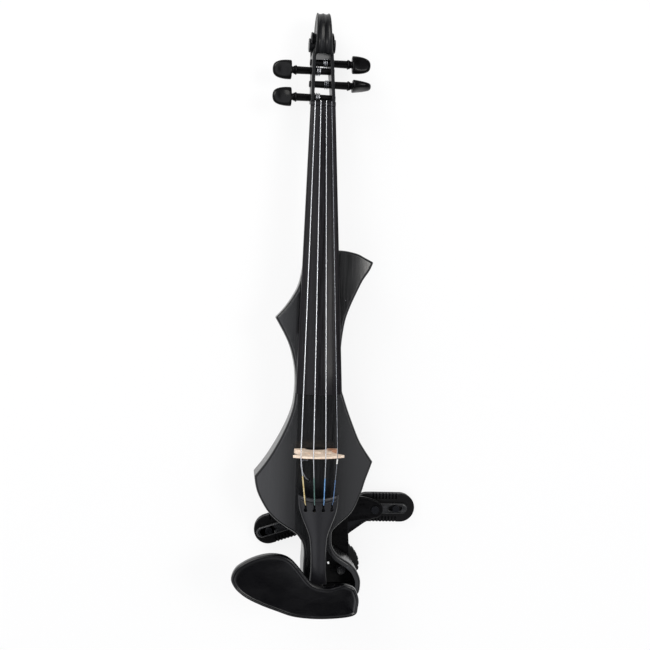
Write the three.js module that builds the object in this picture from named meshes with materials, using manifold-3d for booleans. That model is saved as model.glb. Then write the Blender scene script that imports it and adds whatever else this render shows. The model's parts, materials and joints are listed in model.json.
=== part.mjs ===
// Electric violin lying on its back, in millimetres.
// X points to the treble side, Y to the scroll and Z up, out of the front of the instrument.
// Lengths along Y start at the bridge, and heights start at the table, until the last lines centre the group.
import * as THREE from 'three';
import { mergeVertices } from 'three/addons/utils/BufferGeometryUtils.js';
import Module from 'manifold-3d';

const wasm = await Module();
wasm.setup();

// Clearances
const seatGap = 0.3;
const runningGap = 0.4;
const cutOverrun = 2;

// Strings
const stringLength = 327;
const bridgeHeight = 33.5;
const nutDrop = 8;
const bridgeSpacing = 11.2;
const nutSpacing = 5.2;
const tailSpacing = 8.2;
const stringDiameters = { g: 0.9, d: 0.85, a: 0.75, e: 0.5 };
const stringNames = ['g', 'd', 'a', 'e'];

// Body
const bodyLength = 331.4;
const bodyAbove = 189.4;
const bodyHalfWidth = 57;
const bodyDepth = 36;
const bodyStation = 9.5;
const flatHalfWidth = 18;
const frontEdgeDrop = 3.6;
const frontRound = 2.6;
const backRound = 6;
const waistBackRound = 5;

// Neck and head
const neckDepth = 14;
const neckSideInset = 0.8;
const neckTongueLength = 78;
const tongueThickness = 3.5;
const heelDepthShare = 0.67;
const pegboxLength = 48.4;
const pegboxFrontDrop = 3.5;
const pegboxHalfWidth = 11.7;
const pegboxNarrowing = 1.7;
const pegboxSlope = 10;
const pegAxisDepth = 12;
const cheekThickness = 3.2;
const pegboxEndWall = 2.2;
const pegboxCorner = 3;
const scrollTopRadius = 31;
const scrollBackRadius = 25;
const scrollFrontRadius = 22;
const scrollSetback = 9;
const scrollEyeRadius = 6.6;
const scrollEyeHalfWidth = 12.7;
const scrollSpineHalfWidth = 7;
const scrollInnerHalfWidth = 9.8;
const scrollWebHalfWidth = 5.6;
const scrollBandThickness = 5;
const scrollStep = 0.32;

// Fingerboard and nut
const fingerboardLength = 268.5;
const fingerboardNutWidth = 23.6;
const fingerboardEndWidth = 42.8;
const fingerboardRadius = 42;
const fingerboardEdge = 5;
const actionAtNut = 0.9;
const actionAtEnd = 4.4;
const nutThickness = 4.6;

// Pegs
const pegRadius = 3.6;
const pegTipRadius = 3.1;
const pegCollarRadius = 5.2;
const pegCollarThickness = 2.2;
const pegCollarReach = 24.8;
const pegNeckLength = 1.8;
const pegHeadLength = 18.5;
const pegHeadWidth = 18;
const pegHeadThickness = 11;
const pegTipProud = 1.4;
const pegPlaces = { g: 10, d: 36.6, a: 44.7, e: 23.4 };
const pegTurns = { g: 0.1, d: -0.12, a: 0.25, e: 1.45 };
const windingLoops = 3;
const windingPitch = 1.5;
const windingSides = 5;
const windingSteps = 20;
const windingStandoff = 3.2;

// Bridge
const bridgeFootThickness = 4.6;
const bridgeTopThickness = 1.8;
const bridgeHalfWidth = 23.8;
const bridgeFootHalfWidth = 20.6;
const bridgeArchRadius = 42;
const heartRadius = 3.8;
const heartHeight = 19;
const kidneyRadiusX = 2.4;
const kidneyRadiusZ = 4;
const kidneyPlace = 9.6;
const kidneyHeight = 19.5;

// Pickup on the bridge
const pickupRadius = 3.6;
const pickupThickness = 1.1;
const leadRadius = 0.6;
const leadHoleRadius = 1.5;
const leadHoleLeft = 6;
const leadBow = 4.5;
const leadLift = 9;
const leadLanding = 6;

// Tailpiece
const tailpieceTop = 37.6;
const tailpieceEndSetback = 17.4;
const tailpieceHalfWidth = 18.8;
const tailpieceLeftOffset = 1.5;
const tailAxis = 4.2;
const tailpieceThickness = 4.6;
const tailpieceArch = 3.4;
const tailpieceTopHeight = 23.5;
const tailpieceEndHeight = 13.5;
const tailHoleSetback = 14;
const tailHoleRadius = 1.6;
const tailSlotLength = 6.2;
const tailSlotWidth = 1.6;
const fretSetback = 4;
const fretRadius = 0.8;
const tailCordRadius = 1.3;
const tailCordHalfSpan = 3.6;
const endButtonRadius = 5.4;
const endButtonTopRadius = 4.6;
const endButtonNeckRadius = 3.4;
const endButtonHeight = 9.5;
const endButtonSetback = 7;
const endButtonHeadHeight = 3.4;
const endButtonProud = 8.4;
const tailCordHeight = 3.8;
const stringBallRadius = 1.4;
const stringBallLength = 2.4;
const tailTopCurve = 3;

// Tail loop, control well and what is in it
const loopStrip = 5.6;
const loopTop = 48;
const tailWall = 4.6;
const stemRight = 13;
const wellDepth = 30;
const panelThickness = 2.4;
const knobRadius = 5;
const knobHeight = 12;
const knobOutShare = 0.519;
const knobUpShare = 0.0634;
const potRadius = 8;
const potShaftRadius = 1.6;
const lampRadius = 0.9;
const lampHeight = 1.4;
const lampOutShare = 0.323;
const lampUpShare = 0.0742;

// Sockets in the tail end
const outputBore = 3.25;
const outputSleeve = 5.2;
const outputLength = 24;
const outputPlaceX = 2;
const socketProud = 2.2;
const socketFlange = 1.9;
const headphoneBore = 1.8;
const headphoneSleeve = 3.2;
const headphonePlaceX = 24;
const socketDrop = 17;

// Rear pocket and what is in it
const pocketLeft = 30;
const pocketPlaceShare = 0.3803;
const pocketDivide = 3.4;
const boardHeadroom = 2;
const coverLedge = 6.5;
const coverThickness = 2.2;
const coverScrewRadius = 1.4;
const coverScrewHeadRadius = 2.3;
const coverScrewLength = 7;
const batteryWidth = 26.5;
const batteryLength = 48.5;
const batteryThickness = 17.5;
const batteryTerminalHeight = 1.5;
const batteryTerminalRadius = 2.9;
const snapThickness = 2.4;
const doorThickness = 1.8;
const doorOverlap = 1.2;
const doorRailWidth = 2;
const doorLip = 1;
const doorGripWidth = 15;
const doorGripRibs = 5;
const boardThickness = 1.6;
const boardWidth = 18;
const boardLength = 46;
const chipHeight = 2.6;
const chipWidth = 6.4;
const chipLength = 8.8;

// Chin rest
const chinHeight = 21;
const chinThickness = 9;
const chinWidth = 118;
const chinLength = 61;
const chinLeft = 77.6;
const chinReach = 52;
const riserLeft = 8.4;
const riserRight = 38.6;
const riserThickness = 3.4;
const riserWidth = 5.4;
const riserFoot = 5.6;
const barrelRadius = 2.3;
const barrelSetback = 4.2;
const barrelHoleRadius = 0.9;
const clampThickness = 2.8;
const barrelPlaces = { left: 12, right: 35 };

// Shoulder rest
const padThickness = 7;
const padBaseThickness = 4;
const padLength = 63;
const padWidth = 29;
const ribPitch = 3.4;
const ribGap = 1.3;
const ribDepth = 1.2;
const ribBand = 5.6;
const ribCount = 8;
const armThickness = 3.5;
const armWidth = 11;
const armSlotWidth = 4.6;
const padTravel = 5;
const barThickness = 5;
const barWidth = 17;
const barTongueWidth = 26;
const barEyeRadius = 14;
const wingLength = 36;
const plateThickness = 3.5;
const plateLeft = 1.5;
const plateUpperRight = 38;
const plateLowerRight = 40.5;
const plateLowerSetback = 10;
const platePocketGap = 9.5;
const plateStepUp = 20;
const plateCorner = 6;
const pinRadius = 2.4;
const pinHeadRadius = 3.9;
const pinHeadHeight = 1.5;
const padScrewRadius = 1.9;
const padScrewHead = 3.8;
const padScrewHeadHeight = 2;
const wheelRadius = 24.2;
const wheelThickness = 8;
const wheelTooth = 1.1;
const wheelTeeth = 28;
const studRadius = 3;
const clampNutRadius = 5.6;
const clampNutHeight = 3.2;
const wheelPlaceX = 28;
const wheelSetback = 16;
const rightArmLength = 29;
const rightPivotX = 66;
const rightPivotSetback = 73.6;
const rightArmTurn = -0.02;
const leftArmLength = 34;
const leftPivotX = 14.2;
const leftPivotSetback = 59.6;
const leftArmTurn = 0.29;
const rightPadSetback = 11;
const leftPadSetback = 17;
const plateScrewRadius = 1.6;
const plateScrewHead = 2.8;
const plateScrewHeadHeight = 1.4;
const plateScrewLength = 9;
const plateScrewInset = 4.2;

// Pocket fitted round the battery with its snap, and the circuit board above it
const pocketInside = batteryLength + batteryTerminalHeight + snapThickness;
const pocketRight = pocketInside + 2 * runningGap + 3 * seatGap - pocketLeft;
const pocketHeight = boardWidth + pocketDivide + batteryWidth + 2 * runningGap + seatGap;
const pocketDepth = coverThickness + batteryThickness + boardHeadroom + 2 * seatGap;

// Heights above the table, stacked from the pads up to the face
const baseBottom = padThickness + seatGap;
const armBottom = baseBottom + padBaseThickness + seatGap;
const barBottom = armBottom + armThickness + seatGap;
const plateBottom = barBottom + barThickness + seatGap;
const bodyBack = plateBottom + plateThickness + seatGap;
const face = bodyBack + bodyDepth;
const bodyEnd = bodyAbove - bodyLength;
const pocketBottomY = bodyEnd * pocketPlaceShare;
const pocketTopY = pocketBottomY + pocketHeight;
const tailpieceLength = -bodyEnd - tailpieceTop - tailpieceEndSetback;

// The strings run in one sloping plane from the nut down to the bridge
const stringDrop = bridgeHeight + nutDrop;
const nutY = Math.sqrt(stringLength ** 2 - stringDrop ** 2);
const bridgeTop = face + bridgeHeight;
const nutTop = face - nutDrop;

// Looks of each material
const finishes = {
  satinBlack: { color: '#232427', roughness: 0.5, metalness: 0 },
  boardBlack: { color: '#1c1c1e', roughness: 0.42, metalness: 0 },
  maple: { color: '#e0c79c', roughness: 0.6, metalness: 0 },
  polishedBlack: { color: '#131314', roughness: 0.22, metalness: 0 },
  tailBlack: { color: '#26262a', roughness: 0.4, metalness: 0 },
  steelString: { color: '#c9ccd0', roughness: 0.28, metalness: 1 },
  plainSteel: { color: '#b4b8bd', roughness: 0.3, metalness: 1 },
  blackSteel: { color: '#26272a', roughness: 0.45, metalness: 0.8 },
  brass: { color: '#c79a4b', roughness: 0.32, metalness: 1 },
  blackPlastic: { color: '#151517', roughness: 0.5, metalness: 0 },
  blackRubber: { color: '#1b1b1c', roughness: 0.85, metalness: 0 },
  blackFoam: { color: '#222224', roughness: 0.95, metalness: 0 },
  greenBoard: { color: '#1d5a34', roughness: 0.5, metalness: 0 },
  batteryWrap: { color: '#55585e', roughness: 0.4, metalness: 0 },
  lampWhite: { color: '#f1f1ec', roughness: 0.3, metalness: 0 },
};
const materials = {};
for (const [name, look] of Object.entries(finishes)) materials[name] = new THREE.MeshStandardMaterial(look);

// Shape helpers

function toSolid(geometry) {
  const bare = geometry.clone();
  bare.deleteAttribute('normal');
  bare.deleteAttribute('uv');
  const merged = mergeVertices(bare);
  const mesh = new wasm.Mesh({
    numProp: 3,
    vertProperties: new Float32Array(merged.attributes.position.array),
    triVerts: new Uint32Array(merged.index.array),
  });
  mesh.merge();
  return new wasm.Manifold(mesh);
}

function toGeometry(solid) {
  const mesh = solid.getMesh();
  const geometry = new THREE.BufferGeometry();
  geometry.setAttribute('position', new THREE.BufferAttribute(new Float32Array(mesh.vertProperties), 3));
  geometry.setIndex(new THREE.BufferAttribute(new Uint32Array(mesh.triVerts), 1));
  return geometry;
}

function joined(...geometries) {
  return toGeometry(geometries.map(toSolid).reduce((sum, next) => sum.add(next)));
}

function cut(geometry, ...tools) {
  return toGeometry(tools.map(toSolid).reduce((rest, tool) => rest.subtract(tool), toSolid(geometry)));
}

// A closed body through rings of points, with a flat cap on each end
function loft(rings) {
  const count = rings[0].length;
  const points = rings.flat();
  const faces = [];
  for (let ring = 0; ring < rings.length - 1; ring += 1) {
    for (let side = 0; side < count; side += 1) {
      const here = ring * count + side;
      const next = ring * count + ((side + 1) % count);
      faces.push(here, next, next + count, here, next + count, here + count);
    }
  }
  for (const [ring, turned] of [[0, false], [rings.length - 1, true]]) {
    const middle = new THREE.Vector3();
    rings[ring].forEach((point) => middle.add(point));
    points.push(middle.divideScalar(count));
    for (let side = 0; side < count; side += 1) {
      const here = ring * count + side;
      const next = ring * count + ((side + 1) % count);
      faces.push(points.length - 1, turned ? here : next, turned ? next : here);
    }
  }
  const geometry = new THREE.BufferGeometry().setFromPoints(points);
  geometry.setIndex(signedVolume(points, faces) < 0 ? faces.reverse() : faces);
  return geometry;
}

function signedVolume(points, faces) {
  let volume = 0;
  for (let index = 0; index < faces.length; index += 3) {
    const [a, b, c] = [points[faces[index]], points[faces[index + 1]], points[faces[index + 2]]];
    volume += a.dot(new THREE.Vector3().crossVectors(b, c));
  }
  return volume;
}

function box(fromX, toX, fromY, toY, fromZ, toZ) {
  const geometry = new THREE.BoxGeometry(toX - fromX, toY - fromY, toZ - fromZ);
  return geometry.translate((fromX + toX) / 2, (fromY + toY) / 2, (fromZ + toZ) / 2);
}

// A round bar along Z between two heights, with its own radius at each end
function upright(x, y, fromZ, toZ, radius, topRadius = radius, sides = 16) {
  const geometry = new THREE.CylinderGeometry(topRadius, radius, toZ - fromZ, sides);
  return geometry.rotateX(Math.PI / 2).translate(x, y, (fromZ + toZ) / 2);
}

function alongX(fromX, toX, y, z, radius, farRadius = radius, sides = 16) {
  const geometry = new THREE.CylinderGeometry(farRadius, radius, toX - fromX, sides);
  return geometry.rotateZ(-Math.PI / 2).translate((fromX + toX) / 2, y, z);
}

function alongY(x, fromY, toY, z, radius, sides = 16) {
  const geometry = new THREE.CylinderGeometry(radius, radius, toY - fromY, sides);
  return geometry.translate(x, (fromY + toY) / 2, z);
}

// A body turned about Z, from pairs of radius and height
function turned(profile, sides) {
  const points = profile.map(([radius, height]) => new THREE.Vector2(radius, height));
  return new THREE.LatheGeometry(points, sides).rotateX(Math.PI / 2);
}

function plate(shape, fromZ, toZ) {
  const options = { depth: toZ - fromZ, bevelEnabled: false, curveSegments: 9 };
  const geometry = new THREE.ExtrudeGeometry(shape, options);
  return geometry.translate(0, 0, fromZ);
}

function outline(points) {
  return new THREE.Shape(points.map(([x, y]) => new THREE.Vector2(x, y)));
}

// A flat bar with round ends between two points
function strapShape(startX, startY, turn, length, width) {
  const shape = new THREE.Shape();
  const radius = width / 2;
  const endX = startX + Math.cos(turn) * length;
  const endY = startY + Math.sin(turn) * length;
  const quarter = Math.PI / 2;
  shape.absarc(endX, endY, radius, turn - quarter, turn + quarter, false);
  shape.absarc(startX, startY, radius, turn + quarter, turn + 3 * quarter, false);
  return shape;
}

// A round tube through chosen points, with flat ends
function tube(points, radius, steps, sides = 8) {
  const path = new THREE.CatmullRomCurve3(points, false, 'centripetal');
  const ring = [];
  for (let side = 0; side < sides; side += 1) {
    const angle = (side / sides) * 2 * Math.PI;
    ring.push(new THREE.Vector2(radius * Math.cos(angle), radius * Math.sin(angle)));
  }
  return new THREE.ExtrudeGeometry(new THREE.Shape(ring), { steps, bevelEnabled: false, extrudePath: path });
}

// A round wire along straight runs, mitred where two runs meet
function wire(points, radius, sides = 8) {
  const rings = points.map((point, index) => {
    const before = points[Math.max(index - 1, 0)];
    const after = points[Math.min(index + 1, points.length - 1)];
    const along = new THREE.Vector3().subVectors(after, before).normalize();
    const across = new THREE.Vector3(1, 0, 0).addScaledVector(along, -along.x).normalize();
    const third = new THREE.Vector3().crossVectors(along, across);
    const ring = [];
    for (let side = 0; side < sides; side += 1) {
      const angle = (side / sides) * 2 * Math.PI;
      const corner = point.clone().addScaledVector(across, radius * Math.cos(angle));
      ring.push(corner.addScaledVector(third, radius * Math.sin(angle)));
    }
    return ring;
  });
  return loft(rings);
}

const violin = new THREE.Group();

function add(name, geometry, material, place = null) {
  const mesh = new THREE.Mesh(geometry, material);
  mesh.name = name;
  if (place) mesh.position.copy(place);
  violin.add(mesh);
  return mesh;
}

// Value of a table of place and value at one place, straight between its rows
function fromTable(table, place) {
  if (place <= table[0][0]) return table[0][1];
  for (let row = 1; row < table.length; row += 1) {
    const [start, low] = table[row - 1];
    const [end, high] = table[row];
    if (place <= end) return low + ((high - low) * (place - start)) / (end - start);
  }
  return table[table.length - 1][1];
}

// Both edges of the body as shares: how far up the body's length, and how far out of its half width.
// A new stretch starts at each sharp corner.
const bassEdgeShares = [
  [[0, 0.06], [0.004, 0.12], [0.015, 0.158], [0.036, 0.163], [0.088, 0.163], [0.13, 0.155], [0.157, 0.178],
    [0.178, 0.25], [0.191, 0.325], [0.205, 0.46], [0.226, 0.633], [0.25, 0.768], [0.277, 0.868], [0.305, 0.947],
    [0.331, 0.987], [0.352, 1]],
  [[0.352, 1], [0.383, 0.861], [0.416, 0.735], [0.456, 0.608], [0.496, 0.5], [0.53, 0.427], [0.562, 0.382],
    [0.605, 0.362], [0.648, 0.368], [0.683, 0.398], [0.722, 0.46], [0.757, 0.551], [0.806, 0.712]],
  [[0.806, 0.712], [0.835, 0.561], [0.87, 0.425], [0.903, 0.335], [0.948, 0.28], [1, 0.25]],
];
const trebleEdgeShares = [
  [[0, 0.72], [0.004, 0.78], [0.015, 0.814], [0.037, 0.826], [0.055, 0.807], [0.078, 0.74], [0.096, 0.642],
    [0.111, 0.512], [0.126, 0.405], [0.151, 0.319], [0.18, 0.307], [0.193, 0.319], [0.203, 0.367],
    [0.218, 0.461], [0.238, 0.595], [0.26, 0.688], [0.304, 0.798], [0.338, 0.86], [0.367, 0.923], [0.393, 0.977]],
  [[0.393, 0.977], [0.428, 0.835], [0.457, 0.733], [0.498, 0.63], [0.544, 0.526], [0.581, 0.453], [0.604, 0.414],
    [0.65, 0.388], [0.696, 0.375], [0.73, 0.386], [0.768, 0.409], [0.806, 0.449], [0.842, 0.521], [0.878, 0.612],
    [0.916, 0.719], [0.945, 0.832], [0.969, 0.895]],
  [[0.969, 0.895], [0.981, 0.749], [0.991, 0.63], [0.998, 0.456], [1, 0.33]],
];
// Depth of the body and roundness of its back edge along its length
const depthShares = [[0, 1], [0.42, 1], [0.52, 0.86], [0.62, 0.74], [0.8, 0.67], [1, heelDepthShare]];
const backRoundShares = [[0, 0], [0.34, 0.1], [0.5, 0.8], [0.6, 1], [0.74, 0.9], [0.86, 0.4], [1, 0.2]];
const edgeSamples = 24;

function edgeTable(stretches) {
  const table = [];
  for (const stretch of stretches) {
    const curve = new THREE.SplineCurve(stretch.map(([up, out]) => new THREE.Vector2(up, out)));
    for (const point of curve.getPoints(stretch.length * edgeSamples)) {
      const last = table[table.length - 1];
      if (!last || point.x > last[0]) table.push([point.x, point.y]);
    }
  }
  return table;
}

const bassTable = edgeTable(bassEdgeShares);
const trebleTable = edgeTable(trebleEdgeShares);

function edgeAt(table, y) {
  return bodyHalfWidth * fromTable(table, (y - bodyEnd) / bodyLength);
}

// One edge of the body's section, from the flat middle of the front round to the middle of the back
function sideOfSection(reach, depth, backRadius) {
  const flat = Math.min(flatHalfWidth, reach - 2 * frontRound);
  const drop = (frontEdgeDrop * Math.max(reach - flatHalfWidth, 0)) / (bodyHalfWidth - flatHalfWidth);
  const shoulder = reach - frontRound;
  const eighth = 1 - Math.SQRT1_2;
  return [
    [flat, 0],
    [(flat + shoulder) / 2, -drop / 2],
    [shoulder, -drop],
    [reach - frontRound * eighth, -drop - frontRound * eighth],
    [reach, -drop - frontRound],
    [reach, -depth + backRadius],
    [reach - backRadius * eighth, -depth + backRadius * eighth],
    [reach - backRadius, -depth],
  ];
}

function bodyRing(y) {
  const share = (y - bodyEnd) / bodyLength;
  const depth = bodyDepth * fromTable(depthShares, share);
  const backRadius = backRound + waistBackRound * fromTable(backRoundShares, share);
  const treble = sideOfSection(edgeAt(trebleTable, y), depth, backRadius);
  const bass = sideOfSection(edgeAt(bassTable, y), depth, backRadius).reverse();
  const ring = treble.map(([x, z]) => new THREE.Vector3(x, y, face + z));
  return ring.concat(bass.map(([x, z]) => new THREE.Vector3(-x, y, face + z)));
}

function bodyStations() {
  const stations = new Set();
  for (const stretches of [bassEdgeShares, trebleEdgeShares]) {
    for (const stretch of stretches) {
      stations.add(stretch[0][0]);
      stations.add(stretch[stretch.length - 1][0]);
    }
  }
  for (const [up] of trebleEdgeShares[0].slice(0, 5)) stations.add(up);
  for (const [up] of trebleEdgeShares[2]) stations.add(up);
  const count = Math.round(bodyLength / bodyStation);
  for (let index = 0; index <= count; index += 1) stations.add(index / count);
  const sorted = [...stations].sort((a, b) => a - b);
  const shortest = 0.2 / count;
  const kept = sorted.filter((share, index) => index === 0 || share - sorted[index - 1] > shortest);
  return kept.map((share) => bodyEnd + share * bodyLength);
}

// The control well follows the loop's outer edge at the width of the strip
function wellShape(inset) {
  const points = [];
  const bottom = bodyEnd + tailWall + inset;
  const left = stemRight + inset;
  const steps = 26;
  for (let index = 0; index <= steps; index += 1) {
    const y = bodyEnd + (loopTop + tailWall) * (index / steps);
    const step = loopTop / steps;
    const slope = (edgeAt(trebleTable, y + step) - edgeAt(trebleTable, y - step)) / (2 * step);
    const reach = (loopStrip + inset) / Math.hypot(1, slope);
    const point = [edgeAt(trebleTable, y) - reach, y + reach * slope];
    const last = points[points.length - 1];
    const rising = !last || point[1] > last[1] + step / 4;
    if (point[0] > left && point[1] > bottom && rising) points.push(point);
  }
  points.unshift([points[0][0], bottom]);
  points.push([left, points[points.length - 1][1]]);
  points.push([left, bottom]);
  return outline(points);
}

const wellFloor = face - wellDepth;
const pocketCeiling = bodyBack + pocketDepth;
const socketZ = face - socketDrop;
const knobX = bodyHalfWidth * knobOutShare;
const knobY = bodyEnd + bodyLength * knobUpShare;
const lampX = bodyHalfWidth * lampOutShare;
const lampY = bodyEnd + bodyLength * lampUpShare;
const leadHoleX = -leadHoleLeft;
const leadHoleY = pocketTopY - boardWidth - leadLanding + leadHoleRadius / 2;

function bodyGeometry() {
  const blank = loft(bodyStations().map(bodyRing));
  const under = bodyBack - cutOverrun;
  const coverCeiling = bodyBack + coverThickness + seatGap;
  const ledge = coverLedge + seatGap;
  const tools = [
    channelGeometry(),
    plate(wellShape(0), wellFloor, face + cutOverrun),
    upright(knobX, knobY, under, wellFloor + cutOverrun, potRadius + seatGap),
    box(-pocketLeft, pocketRight, pocketBottomY, pocketTopY, under, pocketCeiling),
    box(-pocketLeft - ledge, pocketRight + ledge, pocketBottomY - ledge, pocketTopY + ledge, under,
      coverCeiling),
    upright(leadHoleX, leadHoleY, pocketCeiling - cutOverrun, face + cutOverrun, leadHoleRadius),
    alongY(outputPlaceX, bodyEnd - cutOverrun, bodyEnd + outputLength, socketZ, outputSleeve + seatGap),
    alongY(headphonePlaceX, bodyEnd - cutOverrun, bodyEnd + tailWall + cutOverrun, socketZ,
      headphoneSleeve + seatGap),
    upright(tailAxis, bodyEnd + endButtonSetback, face - endButtonHeight, face + cutOverrun,
      endButtonNeckRadius + seatGap),
  ];
  for (const [x, y] of coverScrewPlaces()) {
    tools.push(upright(x, y, under, bodyBack + coverScrewLength + seatGap, coverScrewRadius + seatGap));
  }
  for (const [x, y] of plateScrewPlaces()) {
    tools.push(upright(x, y, under, plateBottom + plateScrewLength + seatGap, plateScrewRadius + seatGap));
  }
  return cut(blank, ...tools);
}

function coverScrewPlaces() {
  const places = [];
  const out = coverLedge - coverScrewHeadRadius - seatGap;
  for (const x of [-pocketLeft - out, pocketRight + out]) {
    for (const y of [pocketTopY + out, pocketBottomY - out]) {
      places.push([x, y]);
    }
  }
  return places;
}

// Neck, pegbox and scroll

const fingerboardEnd = nutY - fingerboardLength;

function stringLine(y) {
  return bridgeTop - (stringDrop * y) / nutY;
}

function archDrop(x, radius) {
  return radius - Math.sqrt(radius ** 2 - x ** 2);
}

function boardHalfWidth(y) {
  const share = (nutY - y) / fingerboardLength;
  return (fingerboardNutWidth + (fingerboardEndWidth - fingerboardNutWidth) * share) / 2;
}

function boardTop(y) {
  const share = (nutY - y) / fingerboardLength;
  return stringLine(y) - actionAtNut - (actionAtEnd - actionAtNut) * share;
}

// The underside is flat: one straight plane between its two ends
function boardUnder(y) {
  const [low, high] = [fingerboardEnd, nutY].map((end) =>
    boardTop(end) - archDrop(boardHalfWidth(end), fingerboardRadius) - fingerboardEdge);
  return low + ((high - low) * (y - fingerboardEnd)) / fingerboardLength;
}

// Extra depth of the heel along the neck, from the body's end to the nut
const heelShares = [[0, 1], [0.06, 0.72], [0.14, 0.36], [0.24, 0.12], [0.36, 0], [1, 0]];
const neckStart = bodyAbove + seatGap;
const neckEnd = nutY + nutThickness;
const neckStations = 14;
const neckSides = 11;

function neckRing(y) {
  const halfWidth = boardHalfWidth(y) - neckSideInset;
  const top = boardUnder(Math.min(y, nutY)) - seatGap;
  const heel = boardUnder(neckStart) - neckDepth - (face - bodyDepth * heelDepthShare);
  const depth = neckDepth + heel * fromTable(heelShares, (y - neckStart) / (neckEnd - neckStart));
  const ring = [new THREE.Vector3(-halfWidth, y, top), new THREE.Vector3(halfWidth, y, top)];
  const straight = neckDepth / 7;
  for (let side = 0; side <= neckSides; side += 1) {
    const angle = (side / neckSides) * Math.PI;
    const x = halfWidth * Math.cos(angle);
    ring.push(new THREE.Vector3(x, y, top - straight - (depth - straight) * Math.sin(angle) ** 0.8));
  }
  return ring;
}

// Under the fingerboard the neck ends in a tongue that is let into a channel in the body's face
function tongueRings(end, start, widen, bottom, topAt) {
  return [end, start].map((y) => {
    const half = boardHalfWidth(y) + widen;
    const corners = [[-half, bottom], [half, bottom], [half, topAt(y)], [-half, topAt(y)]];
    return corners.map(([x, z]) => new THREE.Vector3(x, y, z));
  });
}

const tongueEnd = bodyAbove - neckTongueLength;
const channelFloor = boardUnder(neckStart) - tongueThickness - 2 * seatGap;

function tongueGeometry() {
  const top = (y) => boardUnder(y) - seatGap;
  return loft(tongueRings(tongueEnd, neckStart + cutOverrun, -neckSideInset, channelFloor + seatGap, top));
}

function channelGeometry() {
  const top = () => face + cutOverrun;
  return loft(tongueRings(tongueEnd - seatGap, bodyAbove + cutOverrun, seatGap, channelFloor, top));
}

const pegboxStart = neckEnd;
const pegboxEnd = pegboxStart + pegboxLength;
const scrollY = pegboxEnd + scrollSetback;
const scrollZ = scrollBackRadius;
// Share of the way from the neck's back to the scroll's back along the pegbox
const pegboxBackShares = [[0, 0], [0.28, 0.17], [0.55, 0.42], [0.8, 0.75], [0.92, 0.92], [1, 1]];

function pegboxFront(y) {
  return nutTop - pegboxFrontDrop - (pegboxSlope * (y - pegboxStart)) / pegboxLength;
}

function pegboxHalf(y) {
  return pegboxHalfWidth - (pegboxNarrowing * (y - pegboxStart)) / pegboxLength;
}

function pegboxGeometry() {
  const neckBack = boardUnder(nutY) - seatGap - neckDepth;
  const backAtScroll = pegboxCorner / 2;
  const rings = pegboxBackShares.map(([share, drop]) => {
    const y = pegboxStart - seatGap + (scrollY - pegboxStart + seatGap) * share;
    const half = pegboxHalf(y);
    const front = pegboxFront(y);
    const back = neckBack + (backAtScroll - neckBack) * drop;
    const corners = [[half, front], [half, back + pegboxCorner], [half - pegboxCorner, back]];
    const mirrored = corners.map(([x, z]) => [-x, z]).reverse();
    return corners.concat(mirrored).map(([x, z]) => new THREE.Vector3(x, y, z));
  });
  return loft(rings);
}

// The scroll's radius at an angle from its top, turning to the front as the angle grows
function scrollRadiusAt(angle) {
  const quarter = angle / (Math.PI / 2);
  const halfway = (scrollBackRadius + scrollTopRadius) / 2;
  const radii = [[-1.2, scrollBackRadius], [-0.84, scrollBackRadius], [-0.4, halfway], [0, scrollTopRadius],
    [1, scrollFrontRadius], [6, scrollEyeRadius]];
  return fromTable(radii, quarter);
}

function scrollHalfWidthAt(angle) {
  const quarter = angle / (Math.PI / 2);
  const widths = [[0, scrollSpineHalfWidth], [2, scrollInnerHalfWidth], [6, scrollEyeHalfWidth]];
  return fromTable(widths, quarter);
}

function scrollGeometry() {
  const start = -1.2 * (Math.PI / 2);
  const end = 5 * (Math.PI / 2);
  const steps = Math.round((end - start) / scrollStep);
  const spot = (angle, radius, x) =>
    new THREE.Vector3(x, scrollY + radius * Math.cos(angle), scrollZ + radius * Math.sin(angle));
  const section = (angle) => {
    const outer = scrollRadiusAt(angle);
    const inner = outer - scrollBandThickness;
    const half = scrollHalfWidthAt(angle);
    const corners = [[inner, -half], [inner, half], [outer, half], [outer, -half]];
    return corners.map(([radius, x]) => spot(angle, radius, x));
  };
  const blocks = [];
  for (let step = 0; step < steps; step += 1) {
    const angle = start + step * ((end - start) / steps);
    blocks.push(loft([section(angle), section(angle + (end - start) / steps)]));
  }
  const webHalf = scrollWebHalfWidth;
  const webRing = (x) => {
    const ring = [];
    for (let angle = start; angle < start + 2 * Math.PI - scrollStep; angle += scrollStep) {
      ring.push(spot(angle, scrollRadiusAt(angle) - scrollBandThickness / 2, x));
    }
    return ring;
  };
  blocks.push(loft([webRing(-webHalf), webRing(webHalf)]));
  blocks.push(alongX(-scrollEyeHalfWidth, scrollEyeHalfWidth, scrollY, scrollZ, scrollEyeRadius));
  return joined(...blocks);
}

function pegPlace(name) {
  const y = pegboxStart + pegPlaces[name] - nutThickness;
  return new THREE.Vector3(0, y, pegboxFront(y) - pegAxisDepth);
}

const pegSide = { g: -1, d: -1, a: 1, e: 1 };

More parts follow.
